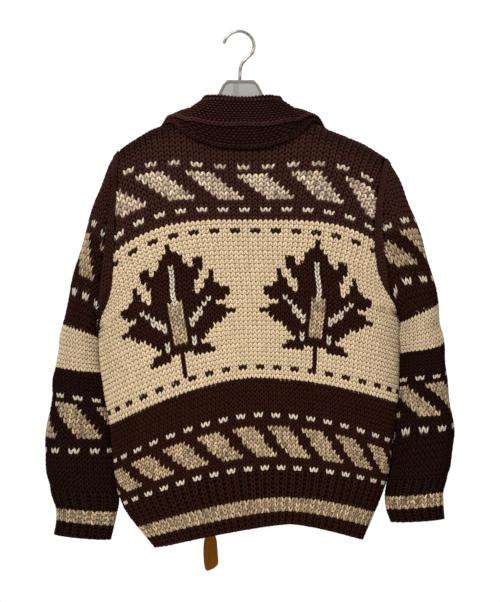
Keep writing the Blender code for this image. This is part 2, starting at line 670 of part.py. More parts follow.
def make_sleeve(word, side, material, rib):
    share = -1.0 + 2.0 * np.arange(SLEEVE_COLUMNS) / SLEEVE_COLUMNS
    row = np.broadcast_to(np.linspace(0.0, CUFF_ROWS - SEAM_ROWS, HEM_STEPS + 1)[:, None],
                          (HEM_STEPS + 1, len(share)))
    share = np.broadcast_to(share, row.shape)
    normals = sleeve_normal(share, row, side)
    outer = sleeve(share, row, side) + normals * rib_relief(row.shape[1], row.shape[0])
    wall("cuff_" + word, outer, sleeve(share, row, side) - normals * KNIT_WALL, rib, ring=True)

    top = shoulder_row(np.array([float(side)]))
    lines = panel_rows(0.0, top)[SIDE_STEPS:, 0]
    half = (top[0] - lines) / (top[0] - UNDERARM_ROW)        # from 1 at the underarm to 0 at the shoulder
    matched = np.concatenate((-half, half[::-1][1:-1]))
    evenly = -1.0 + 2.0 * np.arange(len(matched)) / len(matched)
    blend = np.linspace(0.0, 1.0, SLEEVE_STEPS + 1)[:, None]
    share = evenly + (matched - evenly) * blend
    low = CUFF_ROWS + SEAM_ROWS
    row = low + (cap_rows(share) - low) * blend
    points = sleeve(share, row, side)
    normals = sleeve_normal(share, row, side)
    normals[-1] = armhole_normal(points[-1], side)
    normals[-2] = unit(normals[-2] + normals[-1] * 0.5)
    wall("sleeve_" + word, points, points - normals * KNIT_WALL, material, ring=True)


def collar_layer(name, material, station, upper=False):
    """One layer of the collar between stations; the upper one lies on the lower one from the roll on."""
    points, normals = collar_surface(station)
    if upper:
        roll_end = STAND_STEPS + len(ROLL_ANGLES)
        reach = np.interp(np.abs(station), FALL_END["station"], FALL_END["share"])
        at = np.arange(FALL_STEPS) / (FALL_STEPS - 1.0) * reach[:, None] * (FALL_STEPS - 1.0)
        low = np.minimum(at.astype(int), FALL_STEPS - 2)
        part = (at - low)[..., None]
        line = np.arange(len(station))[:, None]

        def along(values):
            fall = values[line, roll_end + low] * (1 - part) + values[line, roll_end + low + 1] * part
            return np.concatenate((values[:, FALL_START:roll_end], fall), axis=1)

        points, normals = along(points), unit(along(normals))
        points = points + normals * COLLAR_LAYER
    return wall(name, points + normals * KNIT_WALL / 2, points - normals * KNIT_WALL / 2, material)


PARTS = None


def paint(name, colour, roughness, metallic=0.0):
    material = bpy.data.materials.new(name)
    material.use_nodes = True
    shader = material.node_tree.nodes["Principled BSDF"]
    shader.inputs["Base Color"].default_value = (*colour, 1.0)
    shader.inputs["Roughness"].default_value = roughness
    shader.inputs["Metallic"].default_value = metallic
    return material


def start():
    global PARTS
    for thing in list(bpy.data.objects):
        bpy.data.objects.remove(thing, do_unlink=True)
    PARTS = bpy.data.collections.new("cowichan_cardigan")
    bpy.context.scene.collection.children.link(PARTS)


def make_cloth():
    brown = paint("brown_wool", (0.035, 0.018, 0.015), 0.9)
    cream = paint("cream_wool", (0.62, 0.50, 0.34), 0.9)
    make_back(cream, brown)
    for side, word in ((-1, "left"), (1, "right")):
        make_front(word, side, cream, brown)
        make_sleeve(word, side, brown, brown)

    back, down = stations()
    seam = SHOULDER_STATIONS.index(LAPEL_STATION)
    to_seam = np.concatenate((down[:seam], [LAPEL_STATION - SEAM_STATION]))
    collar_layer("collar_stand", brown, np.concatenate((-to_seam[::-1], back, to_seam)))
    over = np.array(SHOULDER_STATIONS)
    collar_layer("collar_fall", brown, np.concatenate((-over[::-1], back, over)), upper=True)
    lapel = np.concatenate(([LAPEL_STATION + SEAM_STATION], down[seam + 1:]))
    for side, word in ((-1, "left"), (1, "right")):
        collar_layer("lapel_" + word, brown, side * lapel)


# ---- zip ----

def tape_frame(side, row):
    """Origin on the tape's middle plane at a front's knitted edge, and directions to the opening, out and up."""
    row = np.atleast_1d(np.asarray(row, dtype=float))
    edge = front(np.zeros_like(row), row, side)
    above = front(np.zeros_like(row), row + 0.5, side)
    normal = torso_normal(side * front_edge_share(row, side), row, 1)
    up = above - edge
    up = unit(up - normal * (up * normal).sum(axis=-1, keepdims=True))
    inward = unit(np.cross(normal, up)) * -side
    inward *= np.sign(-side * inward[:, :1])
    return edge - normal * (KNIT_WALL + TAPE_GAP + TAPE_THICK / 2), inward, normal, up


def zip_tape(name, side, material):
    part = np.linspace(0.0, 1.0, TAPE_STEPS + 1) ** TAPE_CROWD
    row = TAPE_FOOT_ROW + (TAPE_TOP_ROW - TAPE_FOOT_ROW) * part
    origin, inward, normal, _ = tape_frame(side, row)
    across = np.array((-TAPE_IN, 0.0, TAPE_OUT))
    middle = origin[:, None, :] + inward[:, None, :] * across[None, :, None]
    half = normal[:, None, :] * TAPE_THICK / 2
    return wall(name, middle + half, middle - half, material)


def block(name, size, centre=(0.0, 0.0, 0.0)):
    bpy.ops.mesh.primitive_cube_add(size=1.0, location=[value * MM for value in centre])
    thing = bpy.context.active_object
    thing.name = name
    thing.scale = [value * MM for value in size]
    bpy.ops.object.transform_apply(location=True, rotation=False, scale=True)
    return thing


def rod(name, radius, length, centre, sides=24, along="X"):
    turn = {"X": (0.0, math.pi / 2, 0.0), "Y": (math.pi / 2, 0.0, 0.0), "Z": (0.0, 0.0, 0.0)}[along]
    bpy.ops.mesh.primitive_cylinder_add(vertices=sides, radius=radius * MM, depth=length * MM,
                                        location=[value * MM for value in centre], rotation=turn)
    thing = bpy.context.active_object
    thing.name = name
    bpy.ops.object.transform_apply(location=True, rotation=True, scale=True)
    return thing


def combine(thing, other, operation):
    """Join a solid with another one, or cut it away, and put the other one aside."""
    step = thing.modifiers.new(operation.lower(), "BOOLEAN")
    step.operation = operation
    step.solver = "EXACT"
    step.object = other
    bpy.context.view_layer.objects.active = thing
    bpy.ops.object.modifier_apply(modifier=step.name)
    bpy.data.objects.remove(other, do_unlink=True)


def soften(thing, width, segments=2):
    step = thing.modifiers.new("edges", "BEVEL")
    step.width = width * MM
    step.segments = segments
    step.limit_method = "ANGLE"
    step.angle_limit = math.radians(40)
    bpy.context.view_layer.objects.active = thing
    bpy.ops.object.modifier_apply(modifier=step.name)


def adopt(thing, material, frame=None):
    """Bring a finished solid into the part, moved into a frame of its own where one is given."""
    if frame is not None:
        thing.data.transform(frame)
    data = bmesh.new()
    data.from_mesh(thing.data)
    bmesh.ops.recalc_face_normals(data, faces=data.faces)
    data.to_mesh(thing.data)
    data.free()
    thing.data.materials.clear()
    thing.data.materials.append(material)
    thing.data.shade_smooth()
    thing.data.set_sharp_from_angle(angle=math.radians(35))
    for owner in list(thing.users_collection):
        owner.objects.unlink(thing)
    PARTS.objects.link(thing)
    return thing


def frame_at(side, row, past):
    """Matrix that puts a small part on a tape, so far past the knitted edge."""
    origin, inward, normal, up = (value[0] for value in tape_frame(side, row))
    place = (origin + inward * past) * MM
    matrix = Matrix.Identity(4)
    for index, direction in enumerate((inward, normal, up)):
        for axis in range(3):
            matrix[axis][index] = direction[axis]
    matrix.translation = Vector(place)
    return matrix


def slotted(name, size, floor, both=False):
    """Block with a slot in its outer side for the tape's edge; floor is the slot's floor from the middle."""
    body = block(name, size)
    soften(body, METAL_ROUND)
    depth = size[0] / 2 - floor + 1.0
    height = TAPE_THICK + 2 * SLOT_GAP
    for side in (-1, 1) if both else (-1,):
        slot = block("slot", (depth, height, size[2] + 2.0), (side * (floor + depth / 2), 0.0, 0.0))
        combine(body, slot, "DIFFERENCE")
    return body


def make_zip(tape, metal, leather):
    for side, word in ((-1, "left"), (1, "right")):
        zip_tape("zip_tape_" + word, side, tape)

    floor = SLIDER_POST / 2
    past = TAPE_OUT + SLOT_GAP + floor
    slider = slotted("zip_slider", SLIDER_SIZE, floor, both=True)
    face = SLIDER_SIZE[1] / 2
    lug = block("lug", LUG_SIZE, (0.0, face - 0.5 + LUG_SIZE[1] / 2, 0.0))
    soften(lug, 0.8)
    combine(slider, lug, "UNION")
    frame = frame_at(-1, SLIDER_ROW, past)
    slider.data.transform(frame)
    hole = frame @ (Vector((0.0, face + LUG_HOLE_OUT, 0.0)) * MM)
    combine(slider, rod("hole", LUG_HOLE / 2, 12.0, hole / MM), "DIFFERENCE")
    adopt(slider, metal)

    floor = BOX_SLOT - BOX_SIZE[0] / 2
    box = slotted("zip_box", BOX_SIZE, floor)
    adopt(box, metal, frame_at(-1, CLIP_ROW, TAPE_OUT + CLIP_GAP - floor))
    floor = PIN_SLOT - PIN_SIZE[0] / 2
    pin = slotted("zip_pin", PIN_SIZE, floor)
    adopt(pin, metal, frame_at(1, PIN_ROW, TAPE_OUT + CLIP_GAP - floor))
    make_pull(hole, metal, leather)


def smooth_path(points, steps):
    """Evenly sampled cubic curve through a list of points."""
    points = np.array(points, dtype=float)
    knots = np.arange(len(points), dtype=float)
    at = np.linspace(0.0, len(points) - 1.0, (len(points) - 1) * steps + 1)
    return np.stack([smooth(at, knots, points[:, axis]) for axis in range(points.shape[1])], axis=-1)


def wire(name, points, thickness, closed=False):
    """Round wire along points, as a mesh."""
    curve = bpy.data.curves.new(name, "CURVE")
    curve.dimensions = "3D"
    spline = curve.splines.new("POLY")
    spline.points.add(len(points) - 1)
    for index, point in enumerate(points):
        spline.points[index].co = (*[value * MM for value in point], 1.0)
    spline.use_cyclic_u = closed
    curve.bevel_depth = thickness / 2 * MM
    curve.bevel_resolution = 2
    curve.use_fill_caps = True
    return to_mesh(name, curve)


def plate(name, outline, thickness):
    """Flat outline in the XZ plane, thickened along Y."""
    curve = bpy.data.curves.new(name, "CURVE")
    curve.dimensions = "2D"
    curve.fill_mode = "BOTH"
    spline = curve.splines.new("POLY")
    spline.points.add(len(outline) - 1)
    for index, (x, z) in enumerate(outline):
        spline.points[index].co = (x * MM, z * MM, 0.0, 1.0)
    spline.use_cyclic_u = True
    curve.extrude = thickness / 2 * MM
    thing = to_mesh(name, curve)
    thing.data.transform(Matrix.Rotation(math.pi / 2, 4, "X"))
    return thing


def to_mesh(name, curve):
    holder = bpy.data.objects.new(name, curve)
    bpy.context.scene.collection.objects.link(holder)
    bpy.context.view_layer.update()
    mesh = bpy.data.meshes.new_from_object(holder.evaluated_get(bpy.context.evaluated_depsgraph_get()))
    bpy.data.objects.remove(holder, do_unlink=True)
    data = bmesh.new()
    data.from_mesh(mesh)
    bmesh.ops.remove_doubles(data, verts=data.verts, dist=0.01 * MM)
    bmesh.ops.recalc_face_normals(data, faces=data.faces)
    data.to_mesh(mesh)
    data.free()
    thing = bpy.data.objects.new(name, mesh)
    bpy.context.scene.collection.objects.link(thing)
    return thing


def make_pull(hole, metal, leather):
    """Bail and tab, hanging from the lug's hole; both have their origin on the hinge."""
    half = (BAIL_WIDTH - BAIL_WIRE) / 2
    inset = half - BAIL_CORNER
    low = BAIL_CORNER - BAIL_LENGTH
    corners = ((inset, -BAIL_CORNER, 90), (inset, low, 0), (-inset, low, 270), (-inset, -BAIL_CORNER, 180))
    path = []
    for x, z, start_angle in corners:
        for angle in np.radians(start_angle - np.linspace(0.0, 90.0, CORNER_STEPS + 1)):
            path.append((x + BAIL_CORNER * math.cos(angle), 0.0, z + BAIL_CORNER * math.sin(angle)))
    bail = wire("pull_bail", path, BAIL_WIRE, closed=True)
    adopt(bail, metal)
    bail.location = hole

    tab = plate("pull_tab", TAB_OUTLINE, TAB_THICK)
    soften(tab, TAB_ROUND)
    combine(tab, rod("loop", TAB_LOOP / 2, TAB_LOOP_WIDTH, (0.0, 0.0, 0.0)), "UNION")
    combine(tab, rod("bore", TAB_BORE / 2, TAB_LOOP_WIDTH + 4.0, (0.0, 0.0, 0.0)), "DIFFERENCE")
    tab.data.transform(Matrix.Translation((0.0, 0.0, -BAIL_LENGTH * MM)))
    adopt(tab, leather)
    tab.location = hole


# ---- hanger ----

def hanger_outline():
    """The hanger's edge: on each side from the neck's top out along the arm and back below it."""
    whole = []
    for side in (-1, 1):
        reach = np.linspace(ARM_START, HANGER_HALF, ARM_STEPS + 1)
        x = HANGER_MID_X + side * reach
        dip = HANGER_DIP * np.clip((DIP_END - reach) / DIP_FADE, 0.0, 1.0)
        top = ridge_z(x) - KNIT_WALL - HANGER_CLEAR - dip
        bar = HANGER_BAR * np.sqrt(np.clip((HANGER_HALF + 4.0 - reach) / ARM_TIP, 0.1, 1.0))
        half = [(HANGER_MID_X + side * out, z) for out, z in reversed(HANGER_NECK)]
        half += list(zip(x, top))
        half += list(zip(x[::-1], (top - bar)[::-1]))
        foot = ridge_z(HANGER_MID_X + side * ARM_START) - KNIT_WALL - HANGER_BAR - CROTCH_DROP
        half.append((HANGER_MID_X + side * CROTCH_OUT, foot))
        whole.append(half)
    return whole[1] + whole[0][::-1]


def make_hanger(plastic, metal):
    body = plate("hanger_body", hanger_outline(), HANGER_THICK)
    soften(body, HANGER_EDGE)
    neck = [(out - RECESS_INSET, z) for out, z in HANGER_NECK[1:]]
    neck[-1] = (neck[-1][0], neck[-1][1] - RECESS_INSET)
    foot = neck[0][0] + (neck[0][1] - RECESS_FOOT) * RECESS_SPLAY
    side = [(foot, RECESS_FOOT)] + neck
    panel = [(HANGER_MID_X + x, z) for x, z in side] + [(HANGER_MID_X - x, z) for x, z in reversed(side)]
    for face in (-1, 1):
        recess = plate("recess", panel, 2 * RECESS_DEPTH)
        recess.data.transform(Matrix.Translation((0.0, face * HANGER_THICK / 2 * MM, 0.0)))
        combine(body, recess, "DIFFERENCE")
    top = HANGER_NECK[-1][1]
    stem_x = HOOK_PATH[-1][0]
    combine(body, rod("socket", SOCKET_BORE / 2, 2 * SOCKET_DEPTH, (stem_x, 0.0, top), along="Z"), "DIFFERENCE")
    adopt(body, plastic)

    path = [(x, 0.0, z) for x, z in smooth_path(HOOK_PATH, HOOK_STEPS)]
    adopt(wire("hanger_hook", path, HOOK_WIRE), metal)


def main():
    start()
    make_cloth()
    make_zip(paint("zip_tape", (0.03, 0.025, 0.025), 0.8), paint("zip_metal", (0.55, 0.52, 0.48), 0.35, 1.0),
             paint("pull_leather", (0.35, 0.16, 0.02), 0.55))
    make_hanger(paint("hanger_plastic", (0.55, 0.55, 0.56), 0.45), paint("hook_metal", (0.6, 0.6, 0.6), 0.35, 1.0))


main()
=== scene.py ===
# Hand-knitted cowichan cardigan on a hanger: stitches, garter collar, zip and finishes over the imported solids.
# Lengths in the dictionaries are in millimetres unless a note says otherwise, and a row is a row of knitting.
import json
import math

import bpy
import numpy as np
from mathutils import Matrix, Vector


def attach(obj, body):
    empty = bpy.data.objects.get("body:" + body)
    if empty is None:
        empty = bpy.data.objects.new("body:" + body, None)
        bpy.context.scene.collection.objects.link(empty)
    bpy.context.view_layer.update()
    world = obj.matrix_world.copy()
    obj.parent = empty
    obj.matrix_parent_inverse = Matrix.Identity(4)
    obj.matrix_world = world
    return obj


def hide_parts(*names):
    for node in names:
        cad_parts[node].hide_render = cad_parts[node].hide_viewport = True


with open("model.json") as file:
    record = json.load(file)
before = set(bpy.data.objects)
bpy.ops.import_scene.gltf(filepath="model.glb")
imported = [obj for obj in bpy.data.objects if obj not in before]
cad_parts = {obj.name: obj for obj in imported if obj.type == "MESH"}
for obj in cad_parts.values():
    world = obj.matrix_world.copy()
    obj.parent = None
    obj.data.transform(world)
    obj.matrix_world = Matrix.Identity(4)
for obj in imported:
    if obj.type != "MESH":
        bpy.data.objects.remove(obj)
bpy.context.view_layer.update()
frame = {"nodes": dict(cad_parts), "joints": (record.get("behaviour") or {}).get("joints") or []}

mm = 0.001
nodes = frame["nodes"]


# camera, floor and light

view = {"x": 18.15, "z": -443.0, "distance": 4000.0, "mmPerPixel": 1.65, "widthPixels": 500, "sensor": 36.0}
room = {"floorZ": -1400.0, "floorHalf": 2900.0, "floorColour": (0.93, 0.93, 0.92), "floorRoughness": 0.85,
        "sky": (1.0, 1.0, 1.0), "skyPower": 0.50, "backdropPower": 1.02}
lamps = {"key": ((-1000.0, -2700.0, 1500.0), 900.0, 95.0),       # place, size and power
         "fill": ((2300.0, -2200.0, 100.0), 1800.0, 20.0),
         "back": ((600.0, 3000.0, 900.0), 1800.0, 60.0)}


def aimAt(thing, target):
    # turns -Z of a lamp or camera towards the target, with +Y up
    away = target - thing.location
    thing.rotation_euler = away.to_track_quat("-Z", "Y").to_euler()


def buildRoom():
    # level camera square to the back, three soft lamps, a pale floor, and a sky that the camera sees brighter
    eye = bpy.data.cameras.new("viewCamera")
    eye.sensor_fit = "HORIZONTAL"
    eye.sensor_width = view["sensor"]
    eye.lens = view["sensor"] * view["distance"] / (view["widthPixels"] * view["mmPerPixel"])
    eye.clip_end = 100.0
    camera = bpy.data.objects.new("viewCamera", eye)
    camera.location = (view["x"] * mm, -view["distance"] * mm, view["z"] * mm)
    camera.rotation_euler = (math.pi / 2, 0.0, 0.0)
    bpy.context.scene.collection.objects.link(camera)
    bpy.context.scene.camera = camera

    middle = Vector((view["x"] * mm, 0.0, view["z"] * mm))
    for name, (place, size, power) in lamps.items():
        lamp = bpy.data.lights.new(name + "Lamp", "AREA")
        lamp.size = size * mm
        lamp.energy = power
        holder = bpy.data.objects.new(name + "Lamp", lamp)
        holder.location = Vector(place) * mm
        bpy.context.scene.collection.objects.link(holder)
        aimAt(holder, middle)

    world = bpy.data.worlds.new("studio")
    world.use_nodes = True
    tree = world.node_tree
    sky = tree.nodes["Background"]
    backdrop = tree.nodes.new("ShaderNodeBackground")       # what the camera sees behind the object
    for node, power in ((sky, room["skyPower"]), (backdrop, room["backdropPower"])):
        node.inputs["Color"].default_value = (*room["sky"], 1.0)
        node.inputs["Strength"].default_value = power
    path, mix = tree.nodes.new("ShaderNodeLightPath"), tree.nodes.new("ShaderNodeMixShader")
    tree.links.new(path.outputs["Is Camera Ray"], mix.inputs["Fac"])
    tree.links.new(sky.outputs["Background"], mix.inputs[1])
    tree.links.new(backdrop.outputs["Background"], mix.inputs[2])
    tree.links.new(mix.outputs["Shader"], tree.nodes["World Output"].inputs["Surface"])
    bpy.context.scene.world = world
    bpy.context.scene.view_settings.view_transform = "Standard"

    half, low = room["floorHalf"] * mm, room["floorZ"] * mm
    mesh = bpy.data.meshes.new("floor")
    corners = [(-half, -half, low), (half, -half, low), (half, half, low), (-half, half, low)]
    mesh.from_pydata(corners, [], [(0, 1, 2, 3)])
    floor = bpy.data.objects.new("floor", mesh)
    bpy.context.scene.collection.objects.link(floor)
    mesh.materials.append(plainMaterial("floorPaint", room["floorColour"], room["floorRoughness"]))


# materials

class Shader:
    # short way to wire a Principled BSDF; a value is a number, a colour or another node's socket
    def __init__(self, name):
        self.material = bpy.data.materials.new(name)
        self.material.use_nodes = True
        self.tree = self.material.node_tree
        self.main = self.tree.nodes["Principled BSDF"]

    def fill(self, socket, value):
        # links the socket, or sets its number or colour
        if isinstance(value, bpy.types.NodeSocket):
            self.tree.links.new(value, socket)
        else:
            socket.default_value = value

    def add(self, kind, **values):
        # a new node; each value is a property of it or, with its underscores read as spaces, an input
        node = self.tree.nodes.new("ShaderNode" + kind)
        for key, value in values.items():
            if hasattr(node, key):
                setattr(node, key, value)
            else:
                self.fill(node.inputs[key.replace("_", " ")], value)
        return node

    def set(self, **values):
        # inputs of the Principled BSDF
        for key, value in values.items():
            self.fill(self.main.inputs[key.replace("_", " ")], value)

    def math(self, operation, first, second=0.0):
        # a Math node on two numbers or sockets
        node = self.add("Math", operation=operation)
        self.fill(node.inputs[0], first)
        self.fill(node.inputs[1], second)
        return node.outputs[0]

    def spread(self, value, **ends):
        # a value moved from one range to another and kept inside it
        return self.add("MapRange", Value=value, **ends).outputs["Result"]

    def mix(self, factor, first, second, **kind):
        # from the first colour to the second by the factor
        node = self.add("Mix", data_type="RGBA", Factor=factor, **kind)
        self.fill(node.inputs[6], first)
        self.fill(node.inputs[7], second)
        return node.outputs[2]

    def bump(self, height, strength, distance, previous=None):
        # a height turned into a normal, over an earlier one where given
        node = self.add("Bump", Strength=strength, Distance=distance * mm, Height=height)
        if previous is not None:
            self.fill(node.inputs["Normal"], previous)
        return node.outputs["Normal"]


def plainMaterial(name, colour, roughness):
    # one colour all over
    shader = Shader(name)
    shader.set(Base_Color=(*colour, 1.0), Roughness=roughness)
    return shader.material


wool = {"fleck": 420.0, "fleckLow": 0.36, "fleckHigh": 0.66, "fleckDepth": 0.9, "shade": (0.36, 0.33, 0.30, 1.0),
        "fibre": 1500.0, "fibreDepth": 0.6, "plyTurns": 3.0, "plyDepth": 0.5, "hairMm": 0.5, "roughness": 1.0,
        "specular": 0.04}


def woolMaterial(name, ply):
    # yarn colour from the "yarn" attribute, multiplied by flecks as strong as its alpha;
    # fine hairs in the bump, and twisted plies along the strand UV
    shader = Shader(name)
    yarn = shader.add("VertexColor", layer_name="yarn").outputs
    place = shader.add("TexCoord").outputs["Object"]
    fleck = shader.add("TexNoise", Vector=place, Scale=wool["fleck"], Detail=3.0, Roughness=0.6).outputs["Fac"]
    amount = shader.math("MULTIPLY", shader.spread(fleck, From_Min=wool["fleckLow"], From_Max=wool["fleckHigh"]),
                         yarn["Alpha"])
    colour = shader.mix(shader.math("MULTIPLY", amount, wool["fleckDepth"]), yarn["Color"], wool["shade"],
                        blend_type="MULTIPLY")
    fibre = shader.add("TexNoise", Vector=place, Scale=wool["fibre"], Detail=4.0, Roughness=0.7).outputs["Fac"]
    normal = shader.bump(fibre, wool["fibreDepth"], wool["hairMm"])
    if ply:
        strand = shader.add("UVMap", uv_map="strand").outputs["UV"]
        wave = shader.add("TexWave", wave_type="BANDS", bands_direction="DIAGONAL", Vector=strand,
                          Scale=wool["plyTurns"], Distortion=1.2, Detail=2.0)
        normal = shader.bump(wave.outputs["Fac"], wool["plyDepth"], wool["hairMm"], normal)
    shader.set(Base_Color=colour, Normal=normal, Roughness=wool["roughness"], Specular_IOR_Level=wool["specular"])
    return shader.material


tapeWeave = {"scale": 60.0, "low": (0.018, 0.013, 0.012, 1.0), "high": (0.075, 0.055, 0.048, 1.0), "depth": 0.6,
             "depthMm": 0.3, "roughness": 0.8, "sheen": 0.1, "specular": 0.2}


def tapeMaterial():
    # herringbone-like weave from two crossed bands along the strand UV
    shader = Shader("zipTapeWeave")
    strand = shader.add("UVMap", uv_map="strand").outputs["UV"]
    waves = [shader.add("TexWave", wave_type="BANDS", bands_direction=direction, Vector=strand,
                        Scale=tapeWeave["scale"], Distortion=0.4).outputs["Fac"] for direction in ("X", "DIAGONAL")]
    weave = shader.math("MULTIPLY", *waves)
    shader.set(Base_Color=shader.mix(weave, tapeWeave["low"], tapeWeave["high"]),
               Normal=shader.bump(weave, tapeWeave["depth"], tapeWeave["depthMm"]),
               Roughness=tapeWeave["roughness"], Sheen_Weight=tapeWeave["sheen"],
               Specular_IOR_Level=tapeWeave["specular"])
    return shader.material


metal = {"wornLow": 0.4, "wornHigh": 0.62, "roughSpread": 0.25, "scratch": 1800.0, "scratchDepth": 0.15,
         "scratchMm": 0.05,
         "brass": {"colour": (0.62, 0.42, 0.16, 1.0), "worn": (0.34, 0.22, 0.09, 1.0), "rough": 0.30, "patch": 240.0},
         "steel": {"colour": (0.42, 0.38, 0.35, 1.0), "worn": (0.20, 0.175, 0.15, 1.0), "rough": 0.34, "patch": 90.0}}


def metalMaterial(name, finish):
    # two metal tones in soft patches, rougher where worn, and fine scratches in the bump
    shader = Shader(name)
    place = shader.add("TexCoord").outputs["Object"]
    patches = shader.add("TexNoise", Vector=place, Scale=finish["patch"], Detail=4.0).outputs["Fac"]
    scratches = shader.add("TexNoise", Vector=place, Scale=metal["scratch"], Detail=2.0).outputs["Fac"]
    worn = shader.spread(patches, From_Min=metal["wornLow"], From_Max=metal["wornHigh"])
    shader.set(Base_Color=shader.mix(worn, finish["colour"], finish["worn"]), Metallic=1.0,
               Roughness=shader.spread(patches, To_Min=finish["rough"], To_Max=finish["rough"] + metal["roughSpread"]),
               Normal=shader.bump(scratches, metal["scratchDepth"], metal["scratchMm"]))
    return shader.material


# curves and vectors

def smooth(at, knots, values):
    # Hermite cubic through a table, each knot's slope taken from its neighbours
    knots, values = np.asarray(knots, float), np.asarray(values, float)
    slopes = np.gradient(values, knots)
    span = np.clip(np.searchsorted(knots, at, side="right") - 1, 0, len(knots) - 2)
    width = knots[span + 1] - knots[span]
    t = np.clip((at - knots[span]) / width, 0.0, 1.0)
    return ((1 + 2 * t) * (1 - t) ** 2 * values[span] + t * t * (3 - 2 * t) * values[span + 1]
            + width * (t * (1 - t) ** 2 * slopes[span] + t * t * (t - 1) * slopes[span + 1]))


def unit(vectors):
    # each vector divided by its length
    return vectors / np.maximum(np.linalg.norm(vectors, axis=-1, keepdims=True), 1e-9)


def hermite(t, first, last, leaving, arriving):
    # cubic from the first value to the last one, with its slopes at both ends
    return ((1 + 2 * t) * (1 - t) ** 2 * first + t * t * (3 - 2 * t) * last
            + t * (1 - t) ** 2 * leaving + t * t * (t - 1) * arriving)


def lengthAlong(points):
    # distance of each point from the first one, along the line through them
    return np.concatenate(([0.0], np.cumsum(np.linalg.norm(np.diff(points, axis=0), axis=-1))))


def hump(at, middle, width):
    # Gaussian bell, 1 at its middle
    return np.exp(-((at - middle) / width) ** 2)


def step(at, low, high):
    # smoothstep from 0 at low to 1 at high
    t = np.clip((at - low) / (high - low), 0.0, 1.0)
    return t * t * (3 - 2 * t)


# the torso's surface, within a few millimetres of the solids'

cloth = {"wall": 5.0, "seamGap": 0.3, "underarmRow": 53.0, "tableRow": 82.0, "zipTopRow": 66.0, "neckRow": 88.0,
         "hemRows": 12, "cuffRows": 12, "seamRow": 0.02, "capRow": 47.0, "rollHeight": 35.0, "rollRows": 7.5,
         "pitch": 7.6, "armholeRows": 9.0, "sideTuck": 1 / 6, "armholeTuck": 0.02, "sectionPower": 2.6,
         "dipReach": 0.6, "neckShare": {-1: 0.50, 1: 0.42}, "edgeRow": 0.3}

# a row of knitting on each line; droops are powers, depth and rim are how far it stands back from the shoulder line
torsoNames = ("row", "midX", "leftX", "rightX", "topZ", "leftZ", "rightZ", "topAt", "leftDroop", "rightDroop", "dip",
              "depth", "rim")
torsoLines = (
    (0, 33, -137, 203, -807, -849, -836, 0.30, 1.35, 1.4, 0, 50, 0),
    (12, 29, -190, 240, -717, -779, -746, 0.14, 1.8, 1.9, 0, 63, 0),
    (24, 25, -205, 251, -631, -710, -677, 0.07, 1.7, 1.9, 0, 70, 0),
    (33, 21, -211, 260, -567, -647, -611, 0.02, 1.6, 1.9, 0, 74, 0),
    (43, 19, -225, 263, -496, -568, -537, 0, 1.9, 2.1, 0, 76, 0),
    (53, 17, -230, 260, -425, -489, -463, 0, 2.4, 2.5, 0, 74, 0),
    (61, 12, -209, 230, -368, -427, -404, 0, 2.9, 3.2, 0, 70, 44),
    (69, 10, -204, 221, -311, -365, -345, 0, 3.4, 4.2, 0, 64, 47),
    (75, 8, -202, 222, -268, -306, -304, 0, 4.2, 4.6, 4, 59, 45),
    (82, 7, -198, 229, -213, -236, -252, 0, 6.0, 5.0, 9, 53, 41),
    (92, 6, -197, 243, -140, -180, -190, 0, 6.0, 5.0, 9, 47, 34),
)
torsoTable = dict(zip(torsoNames, np.array(torsoLines, float).T))
ridgeTable = np.array((
    (-235, -232), (-199, -198), (-185, -187), (-163, -173), (-140, -160), (-112, -152), (-90, -143), (6, -112),
    (102, -143), (122, -150), (156, -165), (178, -174), (200, -183), (226, -198), (243, -210), (270, -232)), float)
frontEdge = {"row": (0, 12, 33, 53, 66, 80, 90, 100), "share": (0.90, 0.62, 0.43, 0.29, 0.25, 0.62, 1.0, 1.0)}


def ridgeZ(x):
    # height of the shoulders' ridge at x
    return smooth(x, ridgeTable[:, 0], ridgeTable[:, 1])


def torsoFlat(share, row):
    # x from the row's ends, z falling as a power of the distance from its highest point, depth as a superellipse
    at = {name: smooth(row, torsoTable["row"], torsoTable[name]) for name in torsoNames[1:]}
    left = share < 0
    reach = np.where(left, at["midX"] - at["leftX"], at["rightX"] - at["midX"])
    opened = np.clip((row - cloth["underarmRow"]) / cloth["armholeRows"], 0.0, 1.0)
    tuck = cloth["sideTuck"] + (cloth["armholeTuck"] - cloth["sideTuck"]) * opened
    size = np.abs(share)
    out = np.clip(size + tuck * (size - size ** 7), 0.0, 1.0)
    x = at["midX"] + np.sign(share) * reach * out
    signed = np.sign(share) * out - at["topAt"]
    toLeft = signed < 0
    part = np.clip(np.abs(signed) / np.where(toLeft, 1.0 + at["topAt"], 1.0 - at["topAt"]), 0.0, 1.0)
    fall = np.where(toLeft, at["leftZ"], at["rightZ"]) - at["topZ"]
    droop = np.where(toLeft, at["leftDroop"], at["rightDroop"])
    dip = at["dip"] * np.clip(1.0 - (out / cloth["dipReach"]) ** 2, 0.0, 1.0) ** 2
    z = at["topZ"] + fall * part ** droop - dip
    openRow = np.maximum(row, cloth["underarmRow"] + cloth["armholeRows"])
    rim = smooth(openRow, torsoTable["row"], torsoTable["rim"]) * np.sqrt(1.0 - (1.0 - opened) ** 2)
    depth = rim + (at["depth"] - rim) * (1.0 - out ** cloth["sectionPower"]) ** (0.5 + 0.5 * opened)
    return x, z, depth


def rollStart(share):
    # row at which the cloth begins to roll over the shoulder
    x, z, _ = torsoFlat(share, np.full_like(share, cloth["tableRow"]))
    return cloth["tableRow"] + np.maximum(ridgeZ(x) - cloth["rollHeight"] - z, 1.0) / cloth["pitch"]


def shoulderRow(share):
    # row at which the cloth reaches the top of the shoulder
    return rollStart(share) + cloth["rollRows"]


